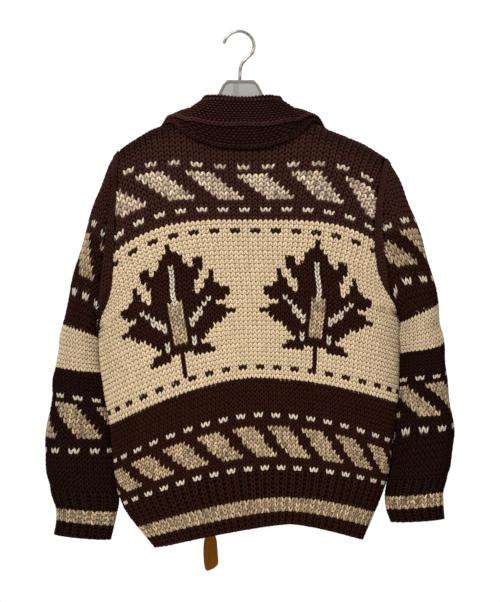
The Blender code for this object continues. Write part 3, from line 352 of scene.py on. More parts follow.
def torso(share, row, face):
    # the flat surface, then a quarter ellipse over the shoulder; face is -1 for the back and 1 for the front
    share, row = np.broadcast_arrays(np.asarray(share, float), np.asarray(row, float))
    x, z, depth = torsoFlat(share, row)
    _, lastZ, _ = torsoFlat(share, np.full_like(share, cloth["tableRow"]))
    start = rollStart(share)
    z = np.where(row > cloth["tableRow"], lastZ + (row - cloth["tableRow"]) * cloth["pitch"], z)
    turn = np.clip((row - start) / cloth["rollRows"], 0.0, 1.0) * math.pi / 2
    z = np.where(row > start, ridgeZ(x) - cloth["rollHeight"] * (1.0 - np.sin(turn)), z)
    y = face * (depth * np.cos(turn) + cloth["seamGap"] / 2)
    return np.stack((x, y, z), axis=-1)


def torsoNormal(share, row, face):
    # cross product of the steps across and up
    ds, dr = 0.004, 0.2
    across = torso(share + ds, row, face) - torso(share - ds, row, face)
    up = torso(share, row + dr, face) - torso(share, row - dr, face)
    return unit(np.cross(across, up)) * -face


def neckRow(share):
    # row of the back's neck edge, and of its shoulder edge beyond the neck
    side = np.where(share < 0, cloth["neckShare"][-1], cloth["neckShare"][1])
    corner = shoulderRow(np.sign(share) * side)
    across = np.clip(np.abs(share) / side, 0.0, 1.0)
    neck = cloth["neckRow"] + (corner - cloth["neckRow"]) * across ** 3
    return np.where(np.abs(share) < side, neck, shoulderRow(share))


def frontEdgeShare(row, side):
    # share of the half width at which a front's edge lies
    return cloth["neckShare"][side] * smooth(row, frontEdge["row"], frontEdge["share"])


# the sleeves' surface

sleeveNames = ("row", "outerX", "outerZ", "innerX", "innerZ", "halfDepth", "midY")
sleeveLines = {
    -1: ((0, -304, -829, -214, -837, 31, 8), (4, -300, -804, -208, -813, 32, 8),
         (7, -301, -784, -203, -790, 33, 8), (10, -307, -767, -200, -774, 37, 8),
         (14, -315, -737, -203, -743, 41, 9), (20, -319, -692, -210, -693, 44, 9),
         (31, -308, -599, -221.5, -611, 52, 10), (39, -303, -551, -230, -561, 55, 9),
         (47, -291, -489, -235, -507, 58, 6)),
    1: ((0, 338, -803, 253, -808, 31, 8), (4, 336, -780, 245, -786, 32, 8),
        (7, 336, -758, 243, -765, 33, 8), (10, 340, -743, 245, -748, 37, 8),
        (14, 347, -722, 249, -722, 41, 9), (20, 353, -668, 258, -648, 44, 9),
        (31, 343, -578, 266, -565, 52, 10), (39, 339, -527, 267, -518, 55, 9),
        (47, 330, -461, 268, -479, 58, 6)),
}
sleeveTables = {side: dict(zip(sleeveNames, np.array(lines, float).T)) for side, lines in sleeveLines.items()}
# how the cloth leaves the armhole: out and down by share, and the pull of its two ends
leave = {"share": (0, 0.25, 0.5, 0.75, 1.0), "out": (0.70, 0.85, 0.90, 0.85, 0.60),
         "down": (0.70, 0.52, 0.42, 0.50, 0.80), "reach": 0.38, "hang": 0.9}
cap = {"row": 70.0, "swing": 10.0, "dip": 4.0, "foot": 3.0}


def armhole(share, side):
    # the armhole's edge: share 0 at the shoulder, 1 at the underarm, negative at the back
    top = shoulderRow(np.array(float(side)))
    row = top - (top - cloth["underarmRow"]) * np.abs(share)
    edge = np.full_like(row, side)
    point = np.where((share < 0)[..., None], torso(edge, row, -1), torso(edge, row, 1))
    point[..., 0] += side * cloth["seamGap"]
    point[..., 1] = np.where(np.abs(share) < 1e-6, 0.0, point[..., 1])
    return point


def sleeveRound(share, row, side):
    # an ellipse between the sleeve's outer and inner sides
    table = sleeveTables[side]
    at = {name: smooth(row, table["row"], table[name]) for name in sleeveNames[1:]}
    angle = share * math.pi
    lean = (1.0 + np.cos(angle)) / 2
    x = at["innerX"] + (at["outerX"] - at["innerX"]) * lean
    z = at["innerZ"] + (at["outerZ"] - at["innerZ"]) * lean
    return np.stack((x, at["midY"] + at["halfDepth"] * np.sin(angle), z), axis=-1)


def capRows(share):
    # row at which the sleeve meets the armhole: a cosine, highest at the shoulder, less a dip at the sides
    angle = share * math.pi
    return cap["row"] + cap["swing"] * np.cos(angle) - cap["dip"] * np.abs(np.sin(angle))


def sleeve(share, row, side):
    # ellipses up to the cap, then Hermite lines from there to the armhole
    share, row = np.broadcast_arrays(np.asarray(share, float), np.asarray(row, float))
    start = cloth["capRow"]
    low = sleeveRound(share, np.minimum(row, start), side)
    base = sleeveRound(share, np.full_like(row, start), side)
    below = sleeveRound(share, np.full_like(row, start - cap["foot"]), side)
    top = armhole(share, side)
    t = np.clip((row - start) / (capRows(share) - start), 0.0, 1.0)[..., None]
    length = np.linalg.norm(top - base, axis=-1, keepdims=True)
    out = np.interp(np.abs(share), leave["share"], leave["out"])
    down = np.interp(np.abs(share), leave["share"], leave["down"])
    away = unit(np.stack((side * out, np.zeros_like(out), -down), axis=-1))
    rise = unit(base - below) * length * leave["hang"]
    arrive = -away * length * leave["reach"]
    return np.where((row > start)[..., None], hermite(t, base, top, rise, arrive), low)


def wrapped(share):
    # share round the sleeve brought back between -1 and 1
    return (share + 1.0) % 2.0 - 1.0


def sleeveNormal(share, row, side):
    # cross product of the steps round and up
    ds, dr = 0.01, 0.2
    across = sleeve(wrapped(share + ds), row, side) - sleeve(wrapped(share - ds), row, side)
    up = sleeve(share, row + dr, side) - sleeve(share, row - dr, side)
    return unit(np.cross(across, up)) * side


# creases: soft troughs and ridges added along the normal

# share and row of each one's middle, its direction from the level in degrees, half length and half width in mm,
# and its height
bodyCreases = (
    (-0.80, 52, 62, 75, 15, -3.0), (-0.62, 47, 55, 80, 18, 1.8), (0.80, 52, 118, 80, 15, -3.0),
    (0.64, 46, 125, 85, 18, 1.8), (-0.45, 20, 74, 120, 24, -2.0), (0.18, 26, 95, 130, 28, 1.8),
    (0.58, 22, 106, 120, 24, -2.2), (-0.12, 17, 84, 100, 22, -1.5), (0.02, 60, 3, 120, 20, -1.4),
    (-0.30, 86, 30, 60, 16, 1.5), (0.30, 86, 150, 60, 16, 1.5), (-0.80, 26, 60, 90, 20, 2.2),
    (0.84, 28, 116, 90, 20, 2.2), (-0.70, 72, 70, 70, 14, -1.8), (0.70, 72, 110, 70, 14, -1.8),
)
sleeveCreases = (
    (-0.30, 44, 18, 60, 12, -3.0), (-0.62, 40, -24, 55, 12, 2.2), (-0.45, 31, 28, 60, 13, -2.4),
    (-0.30, 22, -20, 55, 14, 2.0), (-0.60, 17, 20, 50, 12, -2.6), (0.35, 42, -18, 60, 12, -3.0),
    (0.60, 36, 22, 55, 12, 2.2), (0.40, 27, -24, 60, 13, -2.4), (0.55, 17, 20, 50, 12, -2.0),
    (-0.35, 53, -35, 50, 11, 2.0), (0.35, 53, 35, 50, 11, 2.0), (-0.15, 13, 10, 40, 10, -1.8),
)
crease = {"bend": 6.0, "bendLength": 26.0, "body": {"rowMm": 7.4, "shareMm": 235.0, "swell": 0.9},
          "sleeve": {"rowMm": 7.6, "shareMm": 165.0, "swell": 1.1}, "dent": -4.2, "dentRows": 1.4, "dentFrom": 0.8}

# how far the sleeves' inner sides and the body's sides swell to lie against each other, and over which rows
touch = {"body": 1.2, "sleeve": {-1: 2.4, 1: 2.4}, "rows": (13.0, 17.0, 48.0, 54.0)}


def touching(row):
    # 1 where the sleeve lies against the body, easing to 0 above and below
    low, lowFull, highFull, high = touch["rows"]
    return step(row, low, lowFull) * (1.0 - step(row, highFull, high))


def creaseHeight(creases, share, row, rowMm, shareMm, turn=1.0):
    # sum of stretched Gaussian bells, each one turned by its own angle
    height = np.zeros(np.broadcast(share, row).shape)
    for middle, at, angle, length, width, size in creases:
        dx = (share - middle) * shareMm * turn
        dz = (row - at) * rowMm
        tilt = math.radians(angle)
        along = dx * math.cos(tilt) + dz * math.sin(tilt)
        beside = -dx * math.sin(tilt) + dz * math.cos(tilt)
        bend = crease["bend"] * np.sin(along / crease["bendLength"] + at)      # keeps the line from being straight
        height += size * hump(along, 0.0, length) * hump(beside + bend, 0.0, width)
    return height


def bodyCrease(share, row, face):
    # the body's creases and a slow swell, fading to its sides and shoulder, plus where the sleeves press
    size = crease["body"]
    near = creaseHeight(bodyCreases, share * (1.0 if face < 0 else -1.0), row, size["rowMm"], size["shareMm"])
    swell = size["swell"] * np.sin(share * 9.0 + row * 0.11 + face) * np.sin(row * 0.17 + share * 2.0)
    full = touch["body"] * step(np.abs(share), 0.86, 1.0) * touching(row)
    return (near + swell) * (1.0 - share ** 8) * step(np.abs(row - shoulderRow(share)), 0.0, 4.0) + full


def sleeveCrease(share, row, side):
    # the sleeve's creases and rings, a dent beside the picked-up strip, plus where the body presses
    size = crease["sleeve"]
    near = creaseHeight(sleeveCreases, share, row, size["rowMm"], size["shareMm"], side)
    ring = size["swell"] * np.sin(row * 0.62 + 2.2 * np.sin(share * math.pi) + side) * step(row, 13.0, 24.0)
    beside = capRows(share) - stripRows(share, side) - crease["dentFrom"]
    dent = crease["dent"] * hump(row, beside, crease["dentRows"]) * step(np.abs(share), 0.10, 0.35)
    full = touch["sleeve"][side] * step(np.abs(share), 0.68, 0.97) * touching(row)
    left = capRows(share) - row
    return (near + ring) * step(left, 1.0, 8.0) + dent * step(left, 0.0, 2.5) + full


# the chart

# the last number of each yarn is the share of its colour left in the painted shadow between its stitches
yarns = {   # colour, how strongly it is flecked, and how bright it is between its stitches
    "brown": (0.033, 0.0092, 0.0054, 0.45, 0.10),
    "cream": (0.735, 0.568, 0.366, 0.14, 0.98),
    "marl": (0.588, 0.426, 0.260, 0.78, 0.38),
    "white": (0.690, 0.585, 0.450, 0.20, 0.24),
    "rust": (0.038, 0.0130, 0.0090, 0.40, 0.12),
    # the brown darkened as painted shade for the sleeves below their cream band and for the cuffs, where the sleeves
    # turn from the light
    "dark": (0.020, 0.0062, 0.0045, 0.40, 0.10),
    "collar": (0.062, 0.0210, 0.0160, 0.45, 0.14),
    # the brown lightened as painted light from above, for the upper back, the tops of the sleeves and the picked-up
    # strip
    "litBrown": (0.055, 0.0195, 0.0135, 0.45, 0.14),
    # the marl lightened as painted light from above, for the upper bars and the top row of dots
    "litMarl": (0.690, 0.530, 0.388, 0.68, 0.40),
}
brown, cream, marl, white, rust, dark, collarBrown, litBrown, litMarl = range(len(yarns))
yarnTable = np.array([yarn[:4] for yarn in yarns.values()])
gapPaintedShades = np.array([yarn[4] for yarn in yarns.values()])

# half of the maple leaf's edge: stitches out from its middle, and row
leafEdge = (
    (0.0, 64.6), (0.6, 64.6), (0.6, 62.8), (1.6, 62.4), (1.7, 61.6), (2.6, 61.4), (2.8, 60.4), (3.5, 59.8),
    (3.9, 58.8), (4.4, 59.6), (4.6, 61.5), (5.9, 61.5), (6.4, 58.3), (5.4, 57.9), (5.1, 56.0), (4.5, 55.0),
    (3.9, 53.0), (4.8, 52.9), (5.6, 53.4), (6.3, 54.4), (6.8, 55.4), (7.3, 57.6), (8.5, 57.6), (8.4, 55.4),
    (8.7, 54.6), (10.4, 54.2), (11.5, 53.8), (11.6, 52.6), (10.4, 52.0), (9.8, 51.0), (8.8, 50.4), (8.4, 49.6),
    (9.6, 49.6), (12.4, 49.4), (12.4, 48.4), (10.4, 48.0), (10.0, 47.0), (9.0, 46.2), (7.9, 45.6), (6.8, 45.0),
    (6.0, 44.2), (5.5, 43.2), (4.7, 43.0), (4.7, 42.2), (5.6, 41.9), (6.8, 41.7), (7.1, 40.1), (2.4, 39.9),
    (1.8, 41.0), (0.6, 41.2), (0.6, 36.3), (0.0, 36.3),
)
# white veins: from and to, as stitches out and row, and half width in stitches; then the marl rib up the middle
leafVeins = ((6.9, 51.7, 2.5, 46.0, 0.68), (2.7, 44.3, 3.7, 41.7, 0.6), (0.0, 60.5, 0.0, 51.4, 0.6))
leafRib = {"row": (42.9, 43.0, 51.5, 51.6), "half": (0.0, 1.3, 1.3, 0.0)}


def insidePolygon(x, y, edge):
    # even-odd rule, one crossing test for each side of the polygon
    inside = np.zeros(x.shape, bool)
    for (x0, y0), (x1, y1) in zip(edge, edge[1:] + edge[:1]):
        if y0 == y1:
            continue
        crosses = (y0 > y) != (y1 > y)
        inside ^= crosses & (x < (x1 - x0) * (y - y0) / (y1 - y0) + x0)
    return inside


def leafOn(codes, column, row, middle):
    # the leaf's polygon in brown, mirrored about its middle column, then its marl rib and its white veins
    out = np.abs(column - middle)
    codes = np.where(insidePolygon(out, row, leafEdge), brown, codes)
    codes = np.where(out < np.interp(row, leafRib["row"], leafRib["half"]), marl, codes)
    vein = np.zeros(codes.shape, bool)
    for x0, y0, x1, y1, half in leafVeins:
        t = np.clip((row - y0) / (y1 - y0), 0.0, 1.0)
        level = (row > min(y0, y1)) & (row < max(y0, y1))
        vein |= level & (np.abs(out - (x0 + (x1 - x0) * t)) < half)
    return np.where(vein, white, codes)


def bars(column, row, foot, top, left, period, lean, width, colour, codes):
    # slanted bars: their left end moves lean stitches a row from the top row's left end
    shift = np.floor(lean * (top - row) + 0.5)
    place = np.mod(column - left - shift, period)
    return np.where((row >= foot) & (row <= top) & (place < width), colour, codes)


def dots(column, row, at, phase, colour, codes):
    # two stitches on, two off
    return np.where((row == at) & (np.mod(column - phase, 4) < 2), colour, codes)


def band(row, span, colour, codes):
    # every stitch from the span's first row to its last one
    return np.where((row >= span[0]) & (row <= span[1]), colour, codes)


# first and last rows of the bands; row, phase and yarn of the dots;
# foot, top, left end, repeat, lean, width and yarn of the bars
# the upper bars and the top row of dots are in the lighter marl, painted light from above
body = {"cream": (33, 68),
        "dots": ((12, 1, white), (24, 0, white), (71, 3, white), (81, 3, litMarl), (35, 1, rust), (66, 1, rust)),
        "bars": ((15, 21, -21, 8, 0.75, 5, marl), (74, 79, -19, 9, 1.0, 5, litMarl))}


def bodyChart(column, row, leaves):
    # whole stitch and row numbers in, yarn numbers out: bands, then dots, bars and leaves over them
    # above the cream band the brown is the lighter one, painted light falling from above
    codes = np.where(row > body["cream"][1], litBrown, np.full(np.broadcast(column, row).shape, brown))
    codes = band(row, body["cream"], cream, codes)
    for at, phase, colour in body["dots"]:
        codes = dots(column, row, at, phase, colour, codes)
    for foot, top, left, period, lean, width, colour in body["bars"]:
        codes = bars(column, row, foot, top, left, period, lean, width, colour, codes)
    for middle in leaves:
        codes = leafOn(codes, column + 0.5, row + 0.5, middle)
    return codes


# the sleeves' bands; rows and phases of their dots, and foot, top and left end of their bars, for the left
# sleeve (-1) and the right one (1)
arm = {"cream": (39, 47), "litBrownRow": 61, "period": 9, "lean": 1.0, "width": 5,
       "dots": {-1: ((20, 0), (31, 3), (53, 0), (63, 0)), 1: ((20, 1), (31, 2), (53, 1), (63, 2))},
       "bars": {-1: ((23, 29, 3), (56, 61, 0)), 1: ((23, 29, -8), (56, 61, -7))}}


def sleeveChart(column, row, side):
    # as the body's chart, with the left sleeve's columns mirrored; below the cream band the brown is darkened as
    # painted shade
    codes = np.full(np.broadcast(column, row).shape, dark)
    # above the cream band the plain brown, and higher up the lighter brown as painted light from above
    codes = np.where(row > arm["cream"][1], np.where(row > arm["litBrownRow"], litBrown, brown), codes)
    codes = band(row, arm["cream"], cream, codes)
    turned = column if side > 0 else -column - 1
    for at, phase in arm["dots"][side]:
        codes = dots(turned, row, at, phase, white, codes)
    for foot, top, left in arm["bars"][side]:
        codes = bars(turned, row, foot, top, left, arm["period"], arm["lean"], arm["width"], marl, codes)
    return codes


# meshes

def makeObject(name, points, quads, triangles, colours, uvs, material, flip=False):
    # points in mm; faces as arrays of corner numbers; colours for each face; UV for each point
    mesh = bpy.data.meshes.new(name)
    faces = [part for part in (quads, triangles) if part is not None and len(part)]
    if flip:
        faces = [part[:, ::-1] for part in faces]
    sizes = np.concatenate([np.full(len(part), part.shape[1]) for part in faces])
    corners = np.concatenate([part.ravel() for part in faces]).astype(np.int32)
    mesh.vertices.add(len(points))
    mesh.vertices.foreach_set("co", (points * mm).astype(np.float32).ravel())
    mesh.loops.add(len(corners))
    mesh.loops.foreach_set("vertex_index", corners)
    mesh.polygons.add(len(sizes))
    mesh.polygons.foreach_set("loop_start", np.concatenate(([0], np.cumsum(sizes)[:-1])).astype(np.int32))
    mesh.polygons.foreach_set("loop_total", sizes.astype(np.int32))
    mesh.update(calc_edges=True)
    mesh.polygons.foreach_set("use_smooth", np.ones(len(sizes), bool))
    if colours is not None:
        attribute = mesh.color_attributes.new("yarn", "FLOAT_COLOR", "CORNER")
        attribute.data.foreach_set("color", np.repeat(colours, sizes, axis=0).astype(np.float32).ravel())
    if uvs is not None:
        layer = mesh.uv_layers.new(name="strand")
        layer.data.foreach_set("uv", uvs[corners].astype(np.float32).ravel())
    mesh.materials.append(material)
    thing = bpy.data.objects.new(name, mesh)
    bpy.context.scene.collection.objects.link(thing)
    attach(thing, "garment")
    return thing


# a stitch's leg is a spindle: two tips and two rings of four points; along and out are in rows and stitch widths,
# rise and thick in mm
leg = {"along": (-0.32, 0.04, 0.84, 1.22), "out": (0.02, 0.12, 0.37, 0.50), "rise": (-0.7, 0.50, 0.35, -0.8),
       "half": (0.0, 0.21, 0.225, 0.0), "thick": (0.0, 1.3, 1.2, 0.0)}
purl = {"along": (-0.62, -0.24, 0.24, 0.62), "half": (0.0, 0.30, 0.30, 0.0), "rise": (-1.2, 0.3, 0.3, -1.2),
        "thick": (0.0, 1.3, 1.3, 0.0), "lean": 0.0}
garterBump = {"along": (-0.60, -0.22, 0.24, 0.62), "half": (0.0, 0.34, 0.34, 0.0),
              "rise": (-1.0, 0.5, 0.7, -0.9), "thick": (0.0, 1.5, 1.5, 0.0), "lean": 0.75}
underShare = 0.8     # how thick a strand is under its line, against over it


def spindleFaces(count):
    # four sides round two rings, and four triangles to each tip, for that many spindles of ten points
    ring = np.arange(4)
    after = (ring + 1) % 4
    foot = np.stack((np.zeros(4, int), 1 + after, 1 + ring), axis=1)[:, ::-1]
    side = np.stack((1 + ring, 1 + after, 5 + after, 5 + ring), axis=1)
    head = np.stack((5 + ring, 5 + after, np.full(4, 9)), axis=1)
    first = 10 * np.arange(count)[:, None, None]
    return (side[None] + first).reshape(-1, 4), (np.concatenate((foot, head))[None] + first).reshape(-1, 3)


def spindles(shape, across):
    # the ten points of one spindle: its line runs up the column (legs) or across it (purl bumps)
    # ring points stand to the sides of the line, over it and under it
    line = np.array(shape["along"])
    out = np.array(shape.get("out", (0, 0, 0, 0))) * (0 if across else 1)
    half, thick, rise = (np.array(shape[key]) for key in ("half", "thick", "rise"))
    u, v, h, s, t = [], [], [], [], []
    for index in range(4):
        corners = ((0, 0),) if index in (0, 3) else ((-1, 0), (0, -1), (1, 0), (0, 1))
        for beside, over in corners:
            u.append(line[index] if across else out[index])
            v.append(line[index] * shape["lean"] if across else line[index])
            s.append(beside * half[index])
            h.append(rise[index] - over * thick[index] * (1.0 if over < 0 else underShare))
            t.append((index / 3.0, 0.25 * (beside + 1) + (0.5 if over > 0 else 0.0)))
    return np.array(u), np.array(v), np.array(s), np.array(h), np.array(t)


# spread of each stitch's place, height and brightness; marled yarns vary more
uneven = {"across": 0.018, "up": 0.03, "height": 0.07, "tint": 0.055, "marlTint": 0.26, "marlRange": (0.35, 1.6)}


def knit(name, place, column, row, codes, material, flip, style, random, width=1.0, lift=0.0, shade=1.0):
    # V stitches are two leaning spindles in each cell; "purl" and "garter" are one level spindle;
    # each point is its place on the surface plus its height along the normal, a little uneven from cell to cell
    # shade multiplies every stitch's colour: below 1 it is painted shade, above 1 a painted highlight
    shape = {"knit": leg, "purl": purl, "garter": garterBump}[style]
    u, v, s, h, t = spindles(shape, style != "knit")
    sides = (-1, 1) if style == "knit" else (0,)
    allU, allV, allH, allT, allCodes = [], [], [], [], []
    jitter = random.normal(size=(len(column), 4))
    for side in sides:
        if style == "knit":
            cellU = 0.5 + (side * u + s) * width
            cellV = v
        else:
            cellU = 0.5 + u * width
            cellV = 0.5 + s
        allU.append(column[:, None] + cellU[None, :] + uneven["across"] * jitter[:, :1])
        allV.append(row[:, None] + cellV[None, :] + uneven["up"] * jitter[:, 1:2])
        size = 1.0 + uneven["height"] * jitter[:, 2:3]
        allH.append(h[None, :] * np.where(h > 0, size, 1.0) + lift)
        allT.append(np.broadcast_to(t[None], (len(column), *t.shape)) + random.random((len(column), 1, 1)))
        allCodes.append(codes)
    u, v, h = (np.concatenate(values) for values in (allU, allV, allH))
    points, normals = place(u, v)
    points = points + normals * h[..., None]
    count = len(points)
    quads, triangles = spindleFaces(count)
    tint = 1.0 + uneven["tint"] * random.normal(size=(count, 1))
    codes = np.concatenate(allCodes)
    mixed = np.clip(tint + uneven["marlTint"] * random.normal(size=(count, 1)), *uneven["marlRange"])
    tint = np.where(((codes == marl) | (codes == litMarl))[:, None], mixed, tint)
    colours = yarnTable[codes].copy()
    colours[:, :3] = np.clip(colours[:, :3] * tint * shade, 0.0, 1.0)
    faceColours = np.concatenate((np.repeat(colours, 4, axis=0), np.repeat(colours, 8, axis=0)))
    return makeObject(name, points.reshape(-1, 3), quads, triangles, faceColours,
                      np.concatenate(allT).reshape(-1, 2), material, flip)


def shell(name, outer, inner, colours, insideColours, uvs, material, ring=False, flip=False):
    # closed wall between an outer and an inner grid; a ring joins its last column to its first
    rows, columns = outer.shape[:2]
    steps = columns if ring else columns - 1
    i = np.arange(steps)[None, :]
    j = np.arange(rows - 1)[:, None]
    after = (i + 1) % columns
    first = j * columns + i
    near = np.stack((first, j * columns + after, (j + 1) * columns + after, (j + 1) * columns + i), axis=-1)
    near = near.reshape(-1, 4)
    total = rows * columns
    edges = []
    i = np.arange(steps)
    after = (i + 1) % columns
    edges.append(np.stack((i, i + total, after + total, after), axis=-1))
    last = (rows - 1) * columns
    edges.append(np.stack((last + i, last + after, last + after + total, last + i + total), axis=-1))
    if not ring:
        j = np.arange(rows - 1) * columns
        edges.append(np.stack((j, j + columns, j + columns + total, j + total), axis=-1))
        j = j + columns - 1
        edges.append(np.stack((j, j + total, j + columns + total, j + columns), axis=-1))
    quads = np.concatenate([near, near[:, ::-1] + total] + edges)
    faceColours = None
    if colours is not None:
        rim = [colours[0], colours[-1]] + ([] if ring else [colours[:, 0], colours[:, -1]])
        faceColours = np.concatenate([colours.reshape(-1, 4), insideColours.reshape(-1, 4)] + rim)
    points = np.concatenate((outer.reshape(-1, 3), inner.reshape(-1, 3)))
    return makeObject(name, points, quads, None, faceColours, uvs, material, flip)


def groundColours(codes, shade=None, fleck=0.5):
    # the yarn's colour darkened as painted shadow between stitches, or at a given share of its brightness, as for the
    # painted shade inside
    colours = yarnTable[codes].copy()
    colours[..., :3] *= gapPaintedShades[codes][..., None] if shade is None else shade
    colours[..., 3] = fleck
    return colours


# knitted panels

# the inside share darkens the cloth's inner faces as painted shade, the purl share darkens the purl bumps as painted
# shade between the ribs
knitting = {"shellSink": 0.62, "insidePaintedShade": 0.75, "ribLift": 0.6, "ribSink": -0.55, "ribRelief": 0.7,
            "purlPaintedShade": 0.92, "ribWidth": 1.22, "purlWidth": 0.9, "stitchTop": 0.6, "edgeShare": 0.99,
            "wallRows": 83, "seed": 11}
bodyColumns = {"row": (0, 29, 35, 45, 52, 57, 60, 64, 66, 71, 81, 100),
               "half": (37, 37.6, 40.2, 39.0, 37.0, 32.6, 29.4, 26.9, 26.3, 25.2, 22.2, 20.0),
               "most": 41, "lastRow": 100, "wallColumns": 75}
frontColumns = {"atZip": 6, "across": 31, "leaf": 20.5, "most": 35, "lastRow": 102, "wallColumns": 33}
# the sleeves' shade darkens their stitches as painted shade where they turn from the light
sleeveColumns = {"row": (0, 12, 20, 31, 47, 53, 63, 80), "half": (20, 20, 19.3, 15.6, 16, 18, 21, 24),
                 "most": 26, "lastRow": 80, "wallColumns": 56, "wallRows": 66, "stripColumns": 92, "stripRows": 2.8,
                 "stripSwell": {-1: 3.6, 1: 1.4}, "stripSteps": 4, "stripLift": 1.0, "shade": 0.84,
                 "tiltAt": (12, 18, 40, 48, 53), "tiltShare": (0.0, 0.9, 1.0, 0.4, 0.0), "tilt": {-1: 0.0, 1: 5.0}}
# the cuffs' brown is the sleeves' darker brown, painted shade
ribbing = {"hem": ((3, 5), brown), "cuff": ((4, 6), dark)}       # rows of the marl stripe, and the yarn round it
backLeaves = (-15.5, 14.5)


def halfColumns(row):
    # stitches from the middle of the back to its side, read from the table
    return np.interp(row, bodyColumns["row"], bodyColumns["half"])


def onBody(share, row, face, top):
    # points and normals of the body with its creases; normals are read no higher than just below its top row
    inside = np.clip(share, -knitting["edgeShare"], knitting["edgeShare"])
    normals = torsoNormal(inside, np.minimum(row, top - cloth["edgeRow"]), face)
    return torso(share, row, face) + normals * bodyCrease(share, row, face)[..., None], normals


def onSleeve(share, row, side):
    # points and normals of a sleeve with its creases, read as the body's are
    normals = sleeveNormal(share, np.minimum(row, capRows(share) - cloth["edgeRow"]), side)
    return sleeve(share, row, side) + normals * sleeveCrease(share, row, side)[..., None], normals


def backPlace(column, row):
    # column over half the row's stitches is the share of the half width; rows stop at the neck and shoulder
    share = np.clip(column / halfColumns(row), -1.0, 1.0)
    top = neckRow(share)
    return onBody(share, np.minimum(row, top), -1, top)


def frontStart(row, side):
    # share where the front's first column runs, straight on past the foot of the V
    return frontEdgeShare(np.minimum(row, cloth["zipTopRow"]), side)


def frontShare(column, row, side):
    # share of the half width: from the front's first column, evenly to the side
    start = frontStart(row, side)
    total = frontColumns["across"] * halfColumns(row) / bodyColumns["half"][0]
    return np.clip(start + (1.0 - start) * column / total, 0.0, 1.0)


def frontPlace(side):
    # a front's points and normals by column and row
    def place(column, row):
        share = side * np.maximum(frontShare(column, row, side), frontEdgeShare(row, side))
        top = shoulderRow(share)
        return onBody(share, np.minimum(row, top), 1, top)
    return place


def stripRows(share, side):
    # rows taken by the strip picked up round the armhole, widest low on the back
    return sleeveColumns["stripRows"] + sleeveColumns["stripSwell"][side] * hump(np.abs(share), 0.72, 0.30)


def sleeveTilt(share, row, side):
    # rows that run a little higher on the outer side than on the inner one
    part = np.interp(row, sleeveColumns["tiltAt"], sleeveColumns["tiltShare"])
    return sleeveColumns["tilt"][side] * (0.5 - np.abs(share)) * part


def sleevePlace(side, strip=False):
    # a sleeve's points and normals by column and row; the strip's rows are laid just below the armhole's edge
    half = sleeveColumns["stripColumns"] / 2

    def place(column, row):
        # column over half the row's stitches is the share round, 0 at the outer side
        if strip:
            share = wrapped(column / half)
            row = capRows(share) + stripRows(share, side) * (row / sleeveColumns["stripSteps"] - 1.0)
        else:
            share = wrapped(column / np.interp(row, sleeveColumns["row"], sleeveColumns["half"]))
            row = row + sleeveTilt(share, row, side)
        return onSleeve(share, np.minimum(row, capRows(share)), side)
    return place


def grid(columns, rows):
    # every column with every row, as two flat lists
    column, row = np.meshgrid(columns.astype(float), rows.astype(float))
    return column.ravel(), row.ravel()


def cellMiddle(values):
    # middle of each cell of a grid of corners
    return (values[1:, 1:] + values[:-1, :-1]) / 2


def buildWall(node, points, normals, codes, woolGround, ring=False, flip=False, relief=0.0):
    # a node's closed wall: its outer face just under the stitches, painted with the shadow between them, its inner one
    # the cloth's thickness in, painted with shade
    outer = points + normals * (relief * knitting["ribRelief"] - knitting["shellSink"])
    inner = points - normals * cloth["wall"]
    made = shell(node + "_cloth", outer, inner, groundColours(codes), groundColours(codes, knitting["insidePaintedShade"]),
                 None, woolGround, ring, flip)
    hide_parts(node)
    return made


def buildBack(woolKnit, woolGround, random):
    # stitches on every cell inside the side, neck and shoulder, over a closed wall with the same chart
    column, row = grid(np.arange(-bodyColumns["most"], bodyColumns["most"]),
                       np.arange(cloth["hemRows"], bodyColumns["lastRow"]))
    share = (column + 0.5) / halfColumns(row + 0.5)
    kept = (np.abs(share) < 1.0) & (row + knitting["stitchTop"] < neckRow(np.clip(share, -1, 1)))
    column, row = column[kept], row[kept]
    codes = bodyChart(column, row, backLeaves)
    stitches = knit("back_stitches", backPlace, column, row, codes, woolKnit, False, "knit", random)

    share = np.linspace(-1.0, 1.0, bodyColumns["wallColumns"])
    low = cloth["hemRows"] + cloth["seamRow"]
    row = low + (neckRow(share) - low) * np.linspace(0.0, 1.0, knitting["wallRows"])[:, None]
    points, normals = backPlace(share * halfColumns(row), row)
    middleRow = cellMiddle(row)
    middleColumn = (share[1:] + share[:-1]) / 2 * halfColumns(middleRow)
    codes = bodyChart(np.floor(middleColumn), np.floor(middleRow), backLeaves)
    return buildWall("back", points, normals, codes, woolGround), stitches


